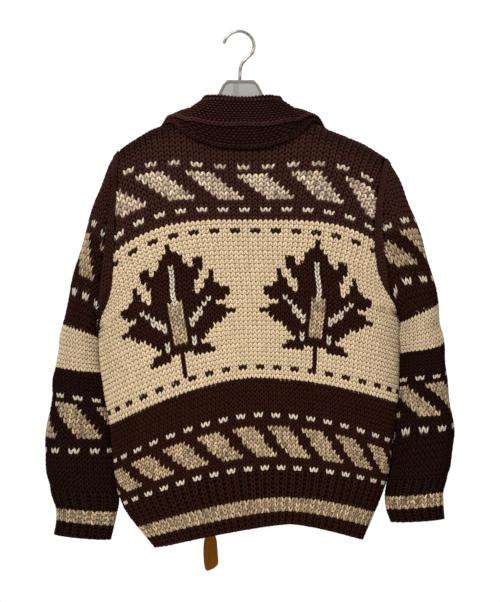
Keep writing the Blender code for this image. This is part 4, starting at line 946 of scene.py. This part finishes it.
def buildFront(word, side, woolKnit, woolGround, random):
    # stitches on every cell between the front's edge, side and shoulder, over a closed wall with the same chart
    leaves = (frontColumns["leaf"],)
    column, row = grid(np.arange(0, frontColumns["most"]), np.arange(cloth["hemRows"], frontColumns["lastRow"]))
    share = frontShare(column + 0.5, row + 0.5, side)
    edge = frontEdgeShare(row + 0.5, side)
    kept = (share < 1.0) & (share > edge) & (row + knitting["stitchTop"] < shoulderRow(side * share))
    column, row = column[kept], row[kept]
    codes = bodyChart(column + frontColumns["atZip"], row, leaves)
    stitches = knit("front_%s_stitches" % word, frontPlace(side), column, row, codes, woolKnit, side > 0, "knit",
                    random)

    across = np.linspace(0.0, 1.0, frontColumns["wallColumns"])
    neck, low = cloth["neckShare"][side], cloth["hemRows"] + cloth["seamRow"]
    top = shoulderRow(side * (neck + (1.0 - neck) * across))
    row = low + (top - low) * np.linspace(0.0, 1.0, knitting["wallRows"])[:, None]
    edge = frontEdgeShare(row, side)
    share = side * (edge + (1.0 - edge) * across)
    points, normals = onBody(share, row, 1, shoulderRow(share))
    start = frontStart(row, side)
    total = frontColumns["across"] * halfColumns(row) / bodyColumns["half"][0]
    column = cellMiddle((np.abs(share) - start) / (1.0 - start) * total)
    codes = bodyChart(np.floor(column) + frontColumns["atZip"], np.floor(cellMiddle(row)), leaves)
    ground = buildWall("front_" + word, points, normals, codes, woolGround, flip=side > 0)
    return ground, stitches


def ribs(name, place, first, last, rows, stripe, ground, woolKnit, random, flip):
    # knit columns stand on even columns, purl bumps sit low on the odd ones between them, darkened as painted shade
    made = []
    for kind, offset, style, width, lift, shade in (
            ("_ribs", 0, "knit", knitting["ribWidth"], knitting["ribLift"], 1.0),
            ("_purls", 1, "purl", knitting["purlWidth"], knitting["ribSink"], knitting["purlPaintedShade"])):
        column, row = grid(np.arange(first + offset, last, 2), np.arange(0, rows))
        made.append(knit(name + kind, place, column - 0.5, row, band(row, stripe, marl, ground), woolKnit, flip,
                         style, random, width, lift, shade))
    return made


def buildRib(kind, node, place, first, last, woolKnit, woolGround, random, ring=False, flip=False):
    # ribs over a closed wall whose outer face rises under the knit columns and sinks under the purl ones
    rows, (stripe, base) = cloth[kind + "Rows"], ribbing[kind]
    sewn = ribs(node, place, first, last, rows, stripe, base, woolKnit, random, flip)
    column = np.arange(first, last if ring else last + 1).astype(float)
    row = np.linspace(0.0, rows - cloth["seamRow"], rows + 1)[:, None]
    column, row = np.broadcast_arrays(column, row)
    points, normals = place(column, row)
    relief = np.where(np.mod(column, 2) == 0, 1.0, -1.0)[..., None]
    codes = band(np.floor(row[:-1] + 0.4), stripe, marl, base)
    codes = codes if ring else codes[:, :-1]
    return buildWall(node, points, normals, codes, woolGround, ring, flip, relief), *sewn


def buildSleeve(word, side, woolKnit, woolGround, random):
    # stitches on every cell below the strip, the picked-up strip round the armhole, and a closed wall all round
    column, row = grid(np.arange(-sleeveColumns["most"], sleeveColumns["most"]),
                       np.arange(cloth["cuffRows"], sleeveColumns["lastRow"]))
    half = np.interp(row + 0.5, sleeveColumns["row"], sleeveColumns["half"])
    share = np.clip((column + 0.5) / half, -1.0, 1.0)
    height = row + 0.5 + sleeveTilt(share, row, side)
    kept = (np.abs(share) < 1.0) & (height < capRows(share) - stripRows(share, side))
    column, row = column[kept], row[kept]
    codes = sleeveChart(column, row, side)
    # the stitches are darkened by the sleeves' shade, painted shade where the sleeves turn from the light
    stitches = knit("sleeve_%s_stitches" % word, sleevePlace(side), column, row, codes, woolKnit, side < 0, "knit",
                    random, shade=sleeveColumns["shade"])
    half = sleeveColumns["stripColumns"] // 2
    column, row = grid(np.arange(-half, half), np.arange(0, sleeveColumns["stripSteps"]))
    # the strip is in the lighter brown as painted light on its raised band, and its outer row in the collar's brown as
    # a painted highlight along its ridge
    codes = np.where(row == 0, collarBrown, litBrown)
    strip = knit("sleeve_%s_strip" % word, sleevePlace(side, True), column, row, codes, woolKnit, side < 0, "knit",
                 random, lift=sleeveColumns["stripLift"])

    steps = sleeveColumns["wallColumns"]
    share = -1.0 + 2.0 * np.arange(steps) / steps
    low = cloth["cuffRows"] + cloth["seamRow"]
    row = low + (capRows(share) - low) * np.linspace(0.0, 1.0, sleeveColumns["wallRows"])[:, None]
    share = np.broadcast_to(share, row.shape)
    points, normals = onSleeve(share, row, side)
    column = share * np.interp(row, sleeveColumns["row"], sleeveColumns["half"])
    codes = sleeveChart(np.floor(column + 0.4), np.floor(row - sleeveTilt(share, row, side) + 0.4), side)
    codes = np.where(row > capRows(share) - stripRows(share, side), dark, codes)[:-1]
    return buildWall("sleeve_" + word, points, normals, codes, woolGround, True, side < 0), stitches, strip


# the shawl collar

# local sizes round the neck: station 0 is the middle of the back, neckStation the side and 1 the foot of the V
# shade darkens the lower layer as painted shade under the upper one and brightens the upper layer's bound-off edge as
# a painted highlight; the inside share darkens the inner faces as painted shade
collar = {"neckStation": 0.45, "rollRadius": 6.0, "rollShare": 0.45, "gap": 0.9, "bend": 0.35, "rest": 5.1,
          "restReach": 14.0, "layer": 6.6, "fallStation": 0.57, "lapelStation": 0.51, "joinStation": 0.0006,
          "standSteps": 3, "fallSteps": 5, "rollAngles": (180, 135, 90, 45), "fallStart": 4, "stitch": 6.6,
          "ridge": 4.4, "bindOff": 7.4, "shade": {"collar_stand": 0.66, "collar_fall_edge": 1.3}, "sink": 0.9,
          "insidePaintedShade": 0.8, "frontEase": 0.2, "frontOut": (0.93, -0.36), "frontUp": (0.97, 0.25),
          "columnSteps": 161, "lineSteps": 81, "rowSteps": 49, "garterDrop": 0.6, "garterLift": 0.4,
          "edgeRound": 0.9, "edgeTurn": 0.5, "edgeOut": 0.3, "edgeIn": 1.2, "edgeLift": 0.3}
collarNames = ("station", "rollOut", "rollUp", "edgeOut", "edgeUp", "belly")
collarLines = (
    (0.0, -5, 57, 9, -16, 4), (0.2, -7, 54, 13, -15, 4), (0.34, -24, 37, 18, -15, 5), (0.45, -40, 21, 15, -14, 3),
    (0.56, -22, 19, 46, 1, 2), (0.78, -10, 14, 62, 5, 3), (0.92, -7, 12, 34, 5, 2), (1.0, -6, 11, 10, 5, 0))
collarTable = dict(zip(collarNames, np.array(collarLines, float).T))
fallEnd = {"station": (0, 0.3, 0.45, 0.55), "share": (0.50, 0.60, 0.92, 0.86)}


def neckEdge(station):
    # the back's neck edge up to the side of the neck, then the V of a front
    size = np.abs(station)
    sideShare = np.where(station < 0, cloth["neckShare"][-1], cloth["neckShare"][1])
    onBack = size <= collar["neckStation"]
    backShare = np.sign(station) * sideShare * np.clip(size / collar["neckStation"], 0.0, 1.0)
    corner = shoulderRow(np.sign(station) * sideShare)
    along = np.clip((size - collar["neckStation"]) / (1.0 - collar["neckStation"]), 0.0, 1.0)
    frontRow = corner + (cloth["zipTopRow"] - corner) * along
    frontAt = np.where(station < 0, -frontEdgeShare(frontRow, -1), frontEdgeShare(frontRow, 1))
    backRow = neckRow(backShare)
    point = np.where(onBack[..., None], torso(backShare, backRow, -1), torso(frontAt, frontRow, 1))
    normal = np.where(onBack[..., None], torsoNormal(backShare, backRow - cloth["edgeRow"], -1),
                      torsoNormal(frontAt, frontRow - cloth["edgeRow"], 1))
    return point, normal


def collarFrame(station):
    # directions out from the neck, turning a quarter from the middle of the back to its side, and up from its
    # edge; both ease to a front's own directions beyond it
    size, sign = np.abs(station), np.sign(station)
    turn = np.clip(size / collar["neckStation"], 0.0, 1.0) * math.pi / 2
    onBack = np.stack((sign * np.sin(turn), -np.cos(turn), np.zeros_like(turn)), axis=-1)
    ease = step(size, collar["neckStation"], collar["neckStation"] + collar["frontEase"])[..., None]
    aside, down = collar["frontOut"]
    onFront = np.stack((sign * aside, np.zeros_like(sign), np.full_like(sign, down)), axis=-1)
    up = np.array((0.0, 0.0, 1.0)) * (1 - ease) + np.array((0.0, *collar["frontUp"])) * ease
    return unit(onBack * (1 - ease) + onFront * ease), unit(up)


def pair(first, second):
    # two numbers side by side, as a point in the collar's local frame
    return np.stack((first, second), axis=-1)


def collarProfile(station):
    # a bent stand from the foot, a round roll and a straight fall with a slight belly, in the local frame
    at = {name: smooth(np.abs(station), collarTable["station"], collarTable[name]) for name in collarNames[1:]}
    out, up = collarFrame(station)
    _, normal = neckEdge(station)
    panel = unit(pair((normal * out).sum(axis=-1), (normal * up).sum(axis=-1)))
    rise = pair(-panel[:, 1], panel[:, 0])
    foot = -panel * cloth["wall"] / 2 + rise * collar["gap"]
    radius = np.minimum(collar["rollRadius"], at["rollUp"] * collar["rollShare"])
    roll = pair(at["rollOut"], at["rollUp"] - radius)
    first = roll - pair(radius, 0 * radius)
    last = pair(at["edgeOut"], at["edgeUp"])
    bend = foot + rise * np.linalg.norm(first - foot, axis=-1, keepdims=True) * collar["bend"]
    line = [(1 - t) ** 2 * foot + 2 * t * (1 - t) * bend + t * t * first
            for t in np.linspace(0.0, 1.0, collar["standSteps"] + 1)[:-1]]
    line += [roll + pair(radius * math.cos(angle), radius * math.sin(angle))
             for angle in np.radians(collar["rollAngles"])]
    begin = roll + pair(radius, 0 * radius)
    for t in np.linspace(0.0, 1.0, collar["fallSteps"]):
        belly = at["belly"] * math.sin(t * math.pi)
        line.append(begin + (last - begin) * t + pair(belly * 0.6, belly * 0.8))
    return np.stack(line, axis=1)


def clothSamples():
    # points and normals of the panels round the neck, for the collar to rest on
    points, normals = [], []
    share = np.linspace(-0.9, 0.9, 91)[None, :]
    rise = np.linspace(0.0, 1.0, 70)[:, None]
    row = cloth["underarmRow"] + (shoulderRow(share) - cloth["underarmRow"]) * rise
    edge = np.where(share < 0, frontEdgeShare(row, -1), frontEdgeShare(row, 1))
    for face, kept in ((-1, row <= neckRow(share)), (1, np.abs(share) >= edge)):
        points.append(torso(share, row, face)[kept])
        normals.append(torsoNormal(share, row - cloth["edgeRow"], face)[kept])
    return np.concatenate(points), np.concatenate(normals)


def restOn(points, under):
    # points moved along the nearest normal until they clear the cloth under them
    near = np.concatenate([np.linalg.norm(part[:, None, :] - under[0][None], axis=-1).argmin(axis=1)
                           for part in np.array_split(points, 24)])
    below, normal = under[0][near], under[1][near]
    height = ((points - below) * normal).sum(axis=-1)
    sideways = np.linalg.norm(points - below - normal * height[:, None], axis=-1)
    short = np.where(sideways < collar["restReach"], np.maximum(collar["rest"] - height, 0.0), 0.0)
    return points + normal * short[:, None]


def collarLine(station, under):
    # middle of the lower layer's wall: a line of points from foot to edge at each station
    profile = collarProfile(station)
    foot, _ = neckEdge(station)
    out, up = collarFrame(station)
    points = foot[:, None, :] + profile[..., :1] * out[:, None, :] + profile[..., 1:] * up[:, None, :]
    fall = collar["fallSteps"]
    points[:, -fall:] = restOn(points[:, -fall:].reshape(-1, 3), under).reshape(len(station), fall, 3)
    return points


def along(line, index):
    # cubic through the points of each line, read at a fractional point number for each line
    count = line.shape[1]
    slopes = np.gradient(line, axis=1)
    low = np.clip(index.astype(int), 0, count - 2)
    t = (index - low)[..., None]
    rows = np.arange(len(line))[:, None]
    return hermite(t, line[rows, low], line[rows, low + 1], slopes[rows, low], slopes[rows, low + 1])


def blurred(values, times):
    # neighbours averaged along the stations, with the ends kept
    for _ in range(times):
        values[1:-1] = (values[:-2] + 2 * values[1:-1] + values[2:]) / 4
    return values


def collarSheet(low, high, start, end, lift, under):
    # evenly spaced grid of one layer: stations across, arc length from its first to its last edge up
    station = np.linspace(low, high, collar["columnSteps"])
    station = np.where(np.abs(station) < 1e-6, 1e-6, station)
    lines = blurred(collarLine(station, under), 2)
    last = end(np.abs(station)) if callable(end) else np.full_like(station, end)
    fine = along(lines, start + (last - start)[:, None] * np.linspace(0.0, 1.0, collar["lineSteps"]))
    length = np.stack([lengthAlong(line) for line in fine])
    even = length[:, -1:] * np.linspace(0.0, 1.0, collar["rowSteps"])
    at = np.stack([np.interp(want, have, np.arange(float(len(have)))) for want, have in zip(even, length)])
    points = along(fine, at)
    normals = unit(np.cross(np.gradient(points, axis=1), np.gradient(points, axis=0)))
    points = points + normals * lift
    across = lengthAlong(points[:, collar["rowSteps"] // 2])
    return {"points": points, "normals": normals, "across": across, "length": float(length[:, -1].mean())}


def sheetPlace(sheet, top):
    # bilinear reading of a collar sheet: columns of one stitch along it, rows of half a ridge up it
    points, normals = sheet["points"], sheet["normals"]
    total = sheet["across"][-1]
    rows = max(round(sheet["length"] / collar["ridge"]), 3)
    columns = max(round(total / collar["stitch"]), 3)

    def place(column, row):
        # a point of the sheet and its normal, by column and row
        at = np.interp(np.clip(column / columns, 0.0, 1.0) * total, sheet["across"], np.arange(len(points)))
        up = np.clip(row / rows, 0.0, 1.0) * (points.shape[1] - 1)
        i, j = np.minimum(at.astype(int), len(points) - 2), np.minimum(up.astype(int), points.shape[1] - 2)
        a, b = (at - i)[..., None], (up - j)[..., None]

        def read(values):
            # the four nearest values, mixed by how near each one is
            return ((values[i, j] * (1 - a) + values[i + 1, j] * a) * (1 - b)
                    + (values[i, j + 1] * (1 - a) + values[i + 1, j + 1] * a) * b)
        normal = unit(read(normals))
        return read(points) + normal * top, normal
    return place, columns, rows


def garter(name, sheet, woolKnit, random):
    # level purl bumps, every second row shifted half a stitch, darkened as painted shade on the layer under the other
    place, columns, rows = sheetPlace(sheet, cloth["wall"] / 2 - collar["garterDrop"])
    column, row = grid(np.arange(0, columns), np.arange(0, rows - 1))
    column = np.clip(column + 0.5 * np.mod(row, 2), 0.0, columns - 1.0)
    codes = np.full(column.shape, collarBrown)
    return knit(name + "_garter", place, column, row, codes, woolKnit, False, "garter", random, 1.0,
                collar["garterLift"], collar["shade"].get(name, 1.0))


def buildCollarLayer(name, sheet, woolKnit, woolGround, random):
    # a closed wall half to each side of the sheet, its garter bumps and its bound-off edge
    points, normals = sheet["points"][::2, ::2], sheet["normals"][::2, ::2]
    half = cloth["wall"] / 2
    codes = np.full((points.shape[0] - 1, points.shape[1] - 1), collarBrown)
    ground = shell(name + "_cloth", points + normals * (half - collar["sink"]), points - normals * half,
                   groundColours(codes), groundColours(codes, collar["insidePaintedShade"]), None, woolGround, flip=True)
    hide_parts(name)
    bumps = garter(name, sheet, woolKnit, random)
    edge = edgeChain(name, sheet, woolKnit, random)
    return ground, bumps, edge


def edgeChain(name, sheet, woolKnit, random):
    # bound-off edge: V stitches laid along the last edge of the layer, turned to run round it, lightened as a painted
    # highlight on the upper layer and darkened as painted shade on the lower one
    points, normals = sheet["points"][:, -1], sheet["normals"][:, -1]
    down = unit(points - sheet["points"][:, -3])
    across = lengthAlong(points)
    count = max(round(across[-1] / collar["bindOff"]), 3)

    def place(column, row):
        # a point beside the edge's own line and the way it faces; columns turn round the line, rows run along it
        at = np.interp(np.clip(row / count, 0.0, 1.0) * across[-1], across, np.arange(len(points)))
        i = np.minimum(at.astype(int), len(points) - 2)
        a = (at - i)[..., None]
        here = points[i] * (1 - a) + points[i + 1] * a
        side = unit(down[i] * (1 - a) + down[i + 1] * a)
        over = unit(normals[i] * (1 - a) + normals[i + 1] * a)
        turn = (column - 0.5) * math.pi * collar["edgeRound"] + collar["edgeTurn"]     # outer face to inner one
        outward = over * np.cos(turn)[..., None] + side * np.sin(turn)[..., None]
        return here + outward * (cloth["wall"] / 2 + collar["edgeOut"]) - side * collar["edgeIn"], outward
    row = np.arange(0, count).astype(float)
    shade = collar["shade"].get(name + "_edge", collar["shade"].get(name, 1.0))
    return knit(name + "_edge", place, np.zeros(count), row, np.full(count, collarBrown), woolKnit, False, "knit",
                random, 1.0, collar["edgeLift"], shade)


def buildCollar(woolKnit, woolGround, random):
    # the lower layer round the back, the upper one over its roll, and a lapel down each front
    under = clothSamples()
    rollEnd = collar["standSteps"] + len(collar["rollAngles"])
    foot, edge = 0.0, rollEnd + collar["fallSteps"] - 1.0
    lapel, over = collar["lapelStation"], collar["fallStation"]
    made = []
    stand = collarSheet(-lapel, lapel, foot, edge, 0.0, under)
    made.append(("collar_stand", *buildCollarLayer("collar_stand", stand, woolKnit, woolGround, random)))

    def reach(size):
        # how far along its line the upper layer ends at each station
        return rollEnd + np.interp(size, fallEnd["station"], fallEnd["share"]) * (collar["fallSteps"] - 1.0)
    fall = collarSheet(-over, over, float(collar["fallStart"]), reach, collar["layer"], under)
    made.append(("collar_fall", *buildCollarLayer("collar_fall", fall, woolKnit, woolGround, random)))
    join = collar["joinStation"]
    for word, low, high in (("left", -1.0, -lapel - join), ("right", lapel + join, 1.0)):
        flap = collarSheet(low, high, foot, edge, 0.0, under)
        made.append(("lapel_" + word, *buildCollarLayer("lapel_" + word, flap, woolKnit, woolGround, random)))
    return made


# zip

zipper = {"wall": 5.0, "tapeThick": 1.2, "tapeGap": 0.8, "tapeOut": 8.0, "tapeWide": 16.0, "tapeSteps": 140,
          "across": (-8.0, -6.0, -3.0, 0.0, 3.0, 5.6, 6.0, 7.1, 7.55), "rowFoot": 0.15, "rowTop": 65.5,
          "section": (0.55, 0.8, 0.8, 0.8, 0.8, 0.8, 1.0, 1.35, 1.0), "rowHigh": 7.6, "weaveMm": 40.0,
          "toothPitch": 2.6, "toothFoot": 2.0, "toothTop": 65.0, "toothIn": 0.3, "toothOut": 3.4, "toothHigh": 2.4,
          "toothWide": 1.5, "clearFoot": 1.35, "stitchPitch": 3.2, "stitchRows": (-6.2, -2.2), "stitchEnd": 0.3,
          "stitchSink": 0.42, "stitchShare": 0.62, "thread": 0.56, "sliderRow": 2.8}


def tapeFrame(side, row):
    # origin behind a front's knitted edge, and directions to the opening, out and up
    share = side * frontEdgeShare(row, side)
    edge = torso(share, row, 1)
    above = torso(side * frontEdgeShare(row + 0.5, side), row + 0.5, 1)
    normal = torsoNormal(share, row, 1)
    up = above - edge
    up = unit(up - normal * (up * normal).sum(axis=-1, keepdims=True))
    inward = unit(np.cross(normal, up)) * -side
    inward = inward * np.sign(-side * inward[:, :1])
    return edge - normal * (zipper["wall"] + zipper["tapeGap"] + zipper["tapeThick"] / 2), inward, normal, up


def evenRows(side, first, last, pitch):
    # rows at equal distances along the tape
    row = np.linspace(first, last, 400)
    length = lengthAlong(tapeFrame(side, row)[0])
    count = int(length[-1] / pitch)
    return np.interp(np.arange(count + 1) * pitch, length, row), length[-1]


def lumps(name, origin, axes, sizes, material, bevel=0.28):
    # rounded blocks: an outline with cut corners at four levels, narrower at its two ends
    corner = 1 - bevel
    ring = np.array(((1, corner), (corner, 1), (-corner, 1), (-1, corner), (-1, -corner), (-corner, -1),
                     (corner, -1), (1, -corner))) / 2
    levels = ((-0.5, corner), (bevel / 2 - 0.5, 1.0), (0.5 - bevel / 2, 1.0), (0.5, corner))
    local = np.concatenate([np.column_stack((ring * size, np.full(8, level))) for level, size in levels])
    local = local * np.array(sizes)
    points = origin[:, None, :] + sum(local[None, :, index, None] * axes[index][:, None, :] for index in range(3))
    ring = np.arange(8)
    after = (ring + 1) % 8
    sides = [np.stack((ring, after, after + 8, ring + 8), axis=1) + 8 * level for level in range(3)]
    foot = np.array(((0, 3, 2, 1), (0, 5, 4, 3), (0, 7, 6, 5)))
    head = np.array(((0, 1, 2, 3), (0, 3, 4, 5), (0, 5, 6, 7))) + 24
    faces = np.concatenate((*sides, foot, head))
    quads = (faces[None] + 32 * np.arange(len(origin))[:, None, None]).reshape(-1, 4)
    return makeObject(name, points.reshape(-1, 3), quads, None, None, None, material)


def buildTape(word, side, tapeCloth, brass, thread):
    # a closed band along the front's edge with a corded edge, its teeth at even steps, and two sewn lines
    row = np.linspace(zipper["rowFoot"], zipper["rowTop"], zipper["tapeSteps"])
    origin, inward, normal, up = tapeFrame(side, row)
    across = np.array(zipper["across"])
    thick = np.array(zipper["section"]) * zipper["tapeThick"] / 2
    middle = origin[:, None, :] + inward[:, None, :] * across[None, :, None]
    rise = normal[:, None, :] * thick[None, :, None]
    outer, inner = middle + rise, middle - rise
    flat = np.stack(np.broadcast_arrays(across[None, :], row[:, None] * zipper["rowHigh"]), axis=-1).reshape(-1, 2)
    flat = np.concatenate((flat, flat)) / zipper["weaveMm"]
    tape = shell("zip_tape_%s_cloth" % word, outer, inner, None, None, flat, tapeCloth, flip=side < 0)
    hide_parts("zip_tape_" + word)

    row, length = evenRows(side, zipper["toothFoot"], zipper["toothTop"], zipper["toothPitch"])
    reach = zipper["tapeOut"] - zipper["toothIn"]
    if side < 0:
        row = row[np.abs(row - zipper["sliderRow"]) > zipper["clearFoot"]]
    origin, inward, normal, up = tapeFrame(side, row)
    teeth = lumps("zip_teeth_" + word, origin + inward * reach, (inward, normal, up),
                  (zipper["toothOut"], zipper["toothHigh"], zipper["toothWide"]), brass)

    sewn = []
    first, last = zipper["rowFoot"] + zipper["stitchEnd"], zipper["rowTop"] - zipper["stitchEnd"]
    for line in zipper["stitchRows"]:
        row, _ = evenRows(side, first, last, zipper["stitchPitch"])
        origin, inward, normal, up = tapeFrame(side, row)
        sunk = normal * zipper["tapeThick"] * zipper["stitchSink"]
        sewn.append((origin + inward * line - sunk, inward, normal, up))
    place, *axes = (np.concatenate([group[index] for group in sewn]) for index in range(4))
    size = (zipper["thread"], zipper["thread"], zipper["stitchPitch"] * zipper["stitchShare"])
    seam = lumps("zip_sewing_" + word, place, axes, size, thread)


# finishes of the solids that stay

# the rim colour is painted shade on the raised rim, the top colour a painted highlight on faces that point up
plastic = {"panel": (0.36, 0.345, 0.325, 1.0), "rib": (0.27, 0.265, 0.235, 1.0), "rim": (0.165, 0.158, 0.145, 1.0),
           "top": (0.60, 0.585, 0.55, 1.0), "cloud": (0.70, 0.70, 0.68, 1.0), "cloudShare": 0.35, "rimDepth": 6.0,
           "ribX": -5.0, "ribHalf": 5.0, "facing": 0.45, "grainDepth": 0.12, "grainMm": 0.1, "rough": (0.34, 0.52)}


def plasticMaterial():
    # moulded grey plastic: raised rim darkened as painted shade, light recessed panel with a faint rib down its
    # middle, top edge lightened as a painted highlight where it faces up
    shader = Shader("mouldedPlastic")
    place = shader.add("TexCoord").outputs["Object"]
    axes = shader.add("SeparateXYZ", Vector=place).outputs
    facing = shader.add("SeparateXYZ", Vector=shader.add("NewGeometry").outputs["Normal"]).outputs
    rim = shader.math("GREATER_THAN", shader.math("ABSOLUTE", axes["Y"]), plastic["rimDepth"] * mm)
    top = shader.math("GREATER_THAN", facing["Z"], plastic["facing"])
    off = shader.math("SUBTRACT", axes["X"], plastic["ribX"] * mm)
    rib = shader.math("LESS_THAN", shader.math("ABSOLUTE", off), plastic["ribHalf"] * mm)
    colour = plastic["panel"]
    for factor, tone in ((rib, "rib"), (rim, "rim"), (top, "top")):
        colour = shader.mix(factor, colour, plastic[tone])
    cloud = shader.add("TexNoise", Vector=place, Scale=26.0, Detail=3.0).outputs["Fac"]
    share = shader.math("MULTIPLY", cloud, plastic["cloudShare"])
    grain = shader.add("TexNoise", Vector=place, Scale=900.0, Detail=2.0).outputs["Fac"]
    smoothest, roughest = plastic["rough"]
    shader.set(Base_Color=shader.mix(share, colour, plastic["cloud"], blend_type="MULTIPLY"),
               Normal=shader.bump(grain, plastic["grainDepth"], plastic["grainMm"]),
               Roughness=shader.spread(cloud, To_Min=smoothest, To_Max=roughest))
    return shader.material


leather = {"middle": (0.220, 0.060, 0.0008, 1.0), "olive": (0.160, 0.062, 0.0006, 1.0),
           "edge": (0.040, 0.015, 0.0010, 1.0), "streaks": (150.0, 60.0, 26.0), "spread": (0.38, 0.64),
           "flat": 0.97, "turned": 0.70, "grain": 700.0, "pores": 1700.0, "rough": (0.42, 0.68), "specular": 0.06}


def leatherMaterial():
    # oiled hide: two tones in soft streaks, dark where the surface turns to its edge, grain and pores in the bump
    shader = Shader("oiledLeather")
    place = shader.add("TexCoord").outputs["Object"]
    streaks = shader.add("Mapping", Vector=place, Scale=leather["streaks"]).outputs["Vector"]
    cloud = shader.add("TexNoise", Vector=streaks, Scale=1.0, Detail=3.0).outputs["Fac"]
    low, high = leather["spread"]
    tone = shader.mix(shader.spread(cloud, From_Min=low, From_Max=high), leather["middle"], leather["olive"])
    facing = shader.add("SeparateXYZ", Vector=shader.add("NewGeometry").outputs["Normal"]).outputs
    rim = shader.spread(shader.math("ABSOLUTE", facing["Y"]), From_Min=leather["flat"], From_Max=leather["turned"])
    grain = shader.add("TexVoronoi", Vector=place, Scale=leather["grain"]).outputs["Distance"]
    pores = shader.add("TexNoise", Vector=place, Scale=leather["pores"], Detail=3.0).outputs["Fac"]
    smoothest, roughest = leather["rough"]
    shader.set(Base_Color=shader.mix(rim, tone, leather["edge"]),
               Normal=shader.bump(pores, 0.25, 0.1, shader.bump(grain, 0.35, 0.25)),
               Roughness=shader.spread(pores, To_Min=smoothest, To_Max=roughest),
               Specular_IOR_Level=leather["specular"])
    return shader.material


tab = {"length": 20.0, "thick": 2.6, "inset": 2.1, "pitch": 3.0, "thread": 0.75, "stitchShare": 0.68,
       "outline": ((-9.8, -8), (-11.8, -16), (-12.8, -27), (-12.8, -39), (-12.0, -51), (-10.6, -60), (-9.0, -64),
                   (-5.8, -66), (-2.5, -65), (5.2, -61.5), (9.8, -57.4), (12.1, -53.5), (12.1, -47), (10.9, -30),
                   (9.8, -16), (7.6, -8))}


def buildTabStitching(hinge, thread):
    # a running stitch just inside the tab's edge, on both faces
    outline = np.array(tab["outline"], float)
    middle = outline.mean(axis=0)
    away = unit(outline - middle)
    line = outline - away * tab["inset"]
    knots = np.arange(len(line), dtype=float)
    fine = np.linspace(0.0, len(line) - 1.0, 400)
    path = np.stack([smooth(fine, knots, line[:, axis]) for axis in (0, 1)], axis=1)
    length = lengthAlong(path)
    at = np.interp(np.arange(0.0, length[-1], tab["pitch"]), length, np.arange(len(path)))
    i = np.minimum(at.astype(int), len(path) - 2)
    point = path[i] + (path[i + 1] - path[i]) * (at - i)[:, None]
    ahead = unit(path[i + 1] - path[i])
    places, turns = [], []
    for face in (-1, 1):
        out = np.full(len(point), face * tab["thick"] / 2)
        places.append(np.stack((point[:, 0], out, point[:, 1] - tab["length"]), axis=1))
        turns.append(np.stack((ahead[:, 0], np.zeros(len(point)), ahead[:, 1]), axis=1))
    place, ahead = np.concatenate(places) + np.array(hinge) / mm, np.concatenate(turns)
    deep = np.broadcast_to(np.array((0.0, 1.0, 0.0)), ahead.shape)
    beside = np.cross(ahead, deep)
    size = (tab["thread"], tab["thread"], tab["pitch"] * tab["stitchShare"])
    seam = lumps("pull_tab_stitching", place, (beside, deep, ahead), size, thread)
    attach(seam, "pull")


threads = {"bands": 900.0, "roughness": 0.7, "depth": 0.5, "depthMm": 0.1,
           "sewing": ((0.030, 0.022, 0.020, 1.0), (0.060, 0.045, 0.040, 1.0)),
           "waxed": ((0.150, 0.075, 0.012, 1.0), (0.280, 0.150, 0.030, 1.0))}


def threadMaterial(name, colour, worn):
    # waxed thread: two tones along fine twisted bands
    shader = Shader(name)
    wave = shader.add("TexWave", wave_type="BANDS", bands_direction="DIAGONAL", Scale=threads["bands"],
                      Distortion=1.0, Vector=shader.add("TexCoord").outputs["Object"]).outputs["Fac"]
    shader.set(Base_Color=shader.mix(wave, colour, worn), Roughness=threads["roughness"],
               Normal=shader.bump(wave, threads["depth"], threads["depthMm"]))
    return shader.material


def paintNode(name, material):
    # a solid that keeps its shape gets a finer material in its own slots
    thing = nodes[name]
    for slot in thing.material_slots:
        slot.material = material


# run


bpy.context.scene.frame_set(1)
buildRoom()
random = np.random.default_rng(knitting["seed"])
woolKnit = woolMaterial("woolStitches", True)
woolGround = woolMaterial("woolGround", False)
sides = {"left": -1, "right": 1}
pieces = {"back": buildBack(woolKnit, woolGround, random)}
print("back knitted")
for word, side in sides.items():
    pieces["front_" + word] = buildFront(word, side, woolKnit, woolGround, random)
    print("front", word, "knitted")
backHalf, armHalf = bodyColumns["half"][0], sleeveColumns["half"][0]
pieces["hem_back"] = buildRib("hem", "hem_back", backPlace, -backHalf, backHalf, woolKnit, woolGround, random)
for word, side in sides.items():
    pieces["hem_front_" + word] = buildRib("hem", "hem_front_" + word, frontPlace(side), 0, frontColumns["across"],
                                           woolKnit, woolGround, random, flip=side > 0)
    pieces["sleeve_" + word] = buildSleeve(word, side, woolKnit, woolGround, random)
    pieces["cuff_" + word] = buildRib("cuff", "cuff_" + word, sleevePlace(side), -armHalf, armHalf, woolKnit,
                                      woolGround, random, True, side < 0)
    print("hem, sleeve and cuff", word, "knitted")
for name, *parts in buildCollar(woolKnit, woolGround, random):
    pieces[name] = parts
print("collar knitted")
brass = metalMaterial("brushedBrass", metal["brass"])
steel = metalMaterial("agedSteelWire", metal["steel"])
sewing = threadMaterial("sewingThread", *threads["sewing"])
waxed = threadMaterial("waxedThread", *threads["waxed"])
tapeCloth = tapeMaterial()
for word, side in sides.items():
    buildTape(word, side, tapeCloth, brass, sewing)
for name in ("zip_slider", "zip_box", "zip_pin", "pull_bail"):
    paintNode(name, brass)
paintNode("hanger_hook", steel)
paintNode("hanger_body", plasticMaterial())
paintNode("pull_tab", leatherMaterial())
hinge = next(joint for joint in frame["joints"] if joint["name"] == "pull_hinge")
buildTabStitching(hinge["pos_m"], waxed)
print("zip, hanger and pull finished")
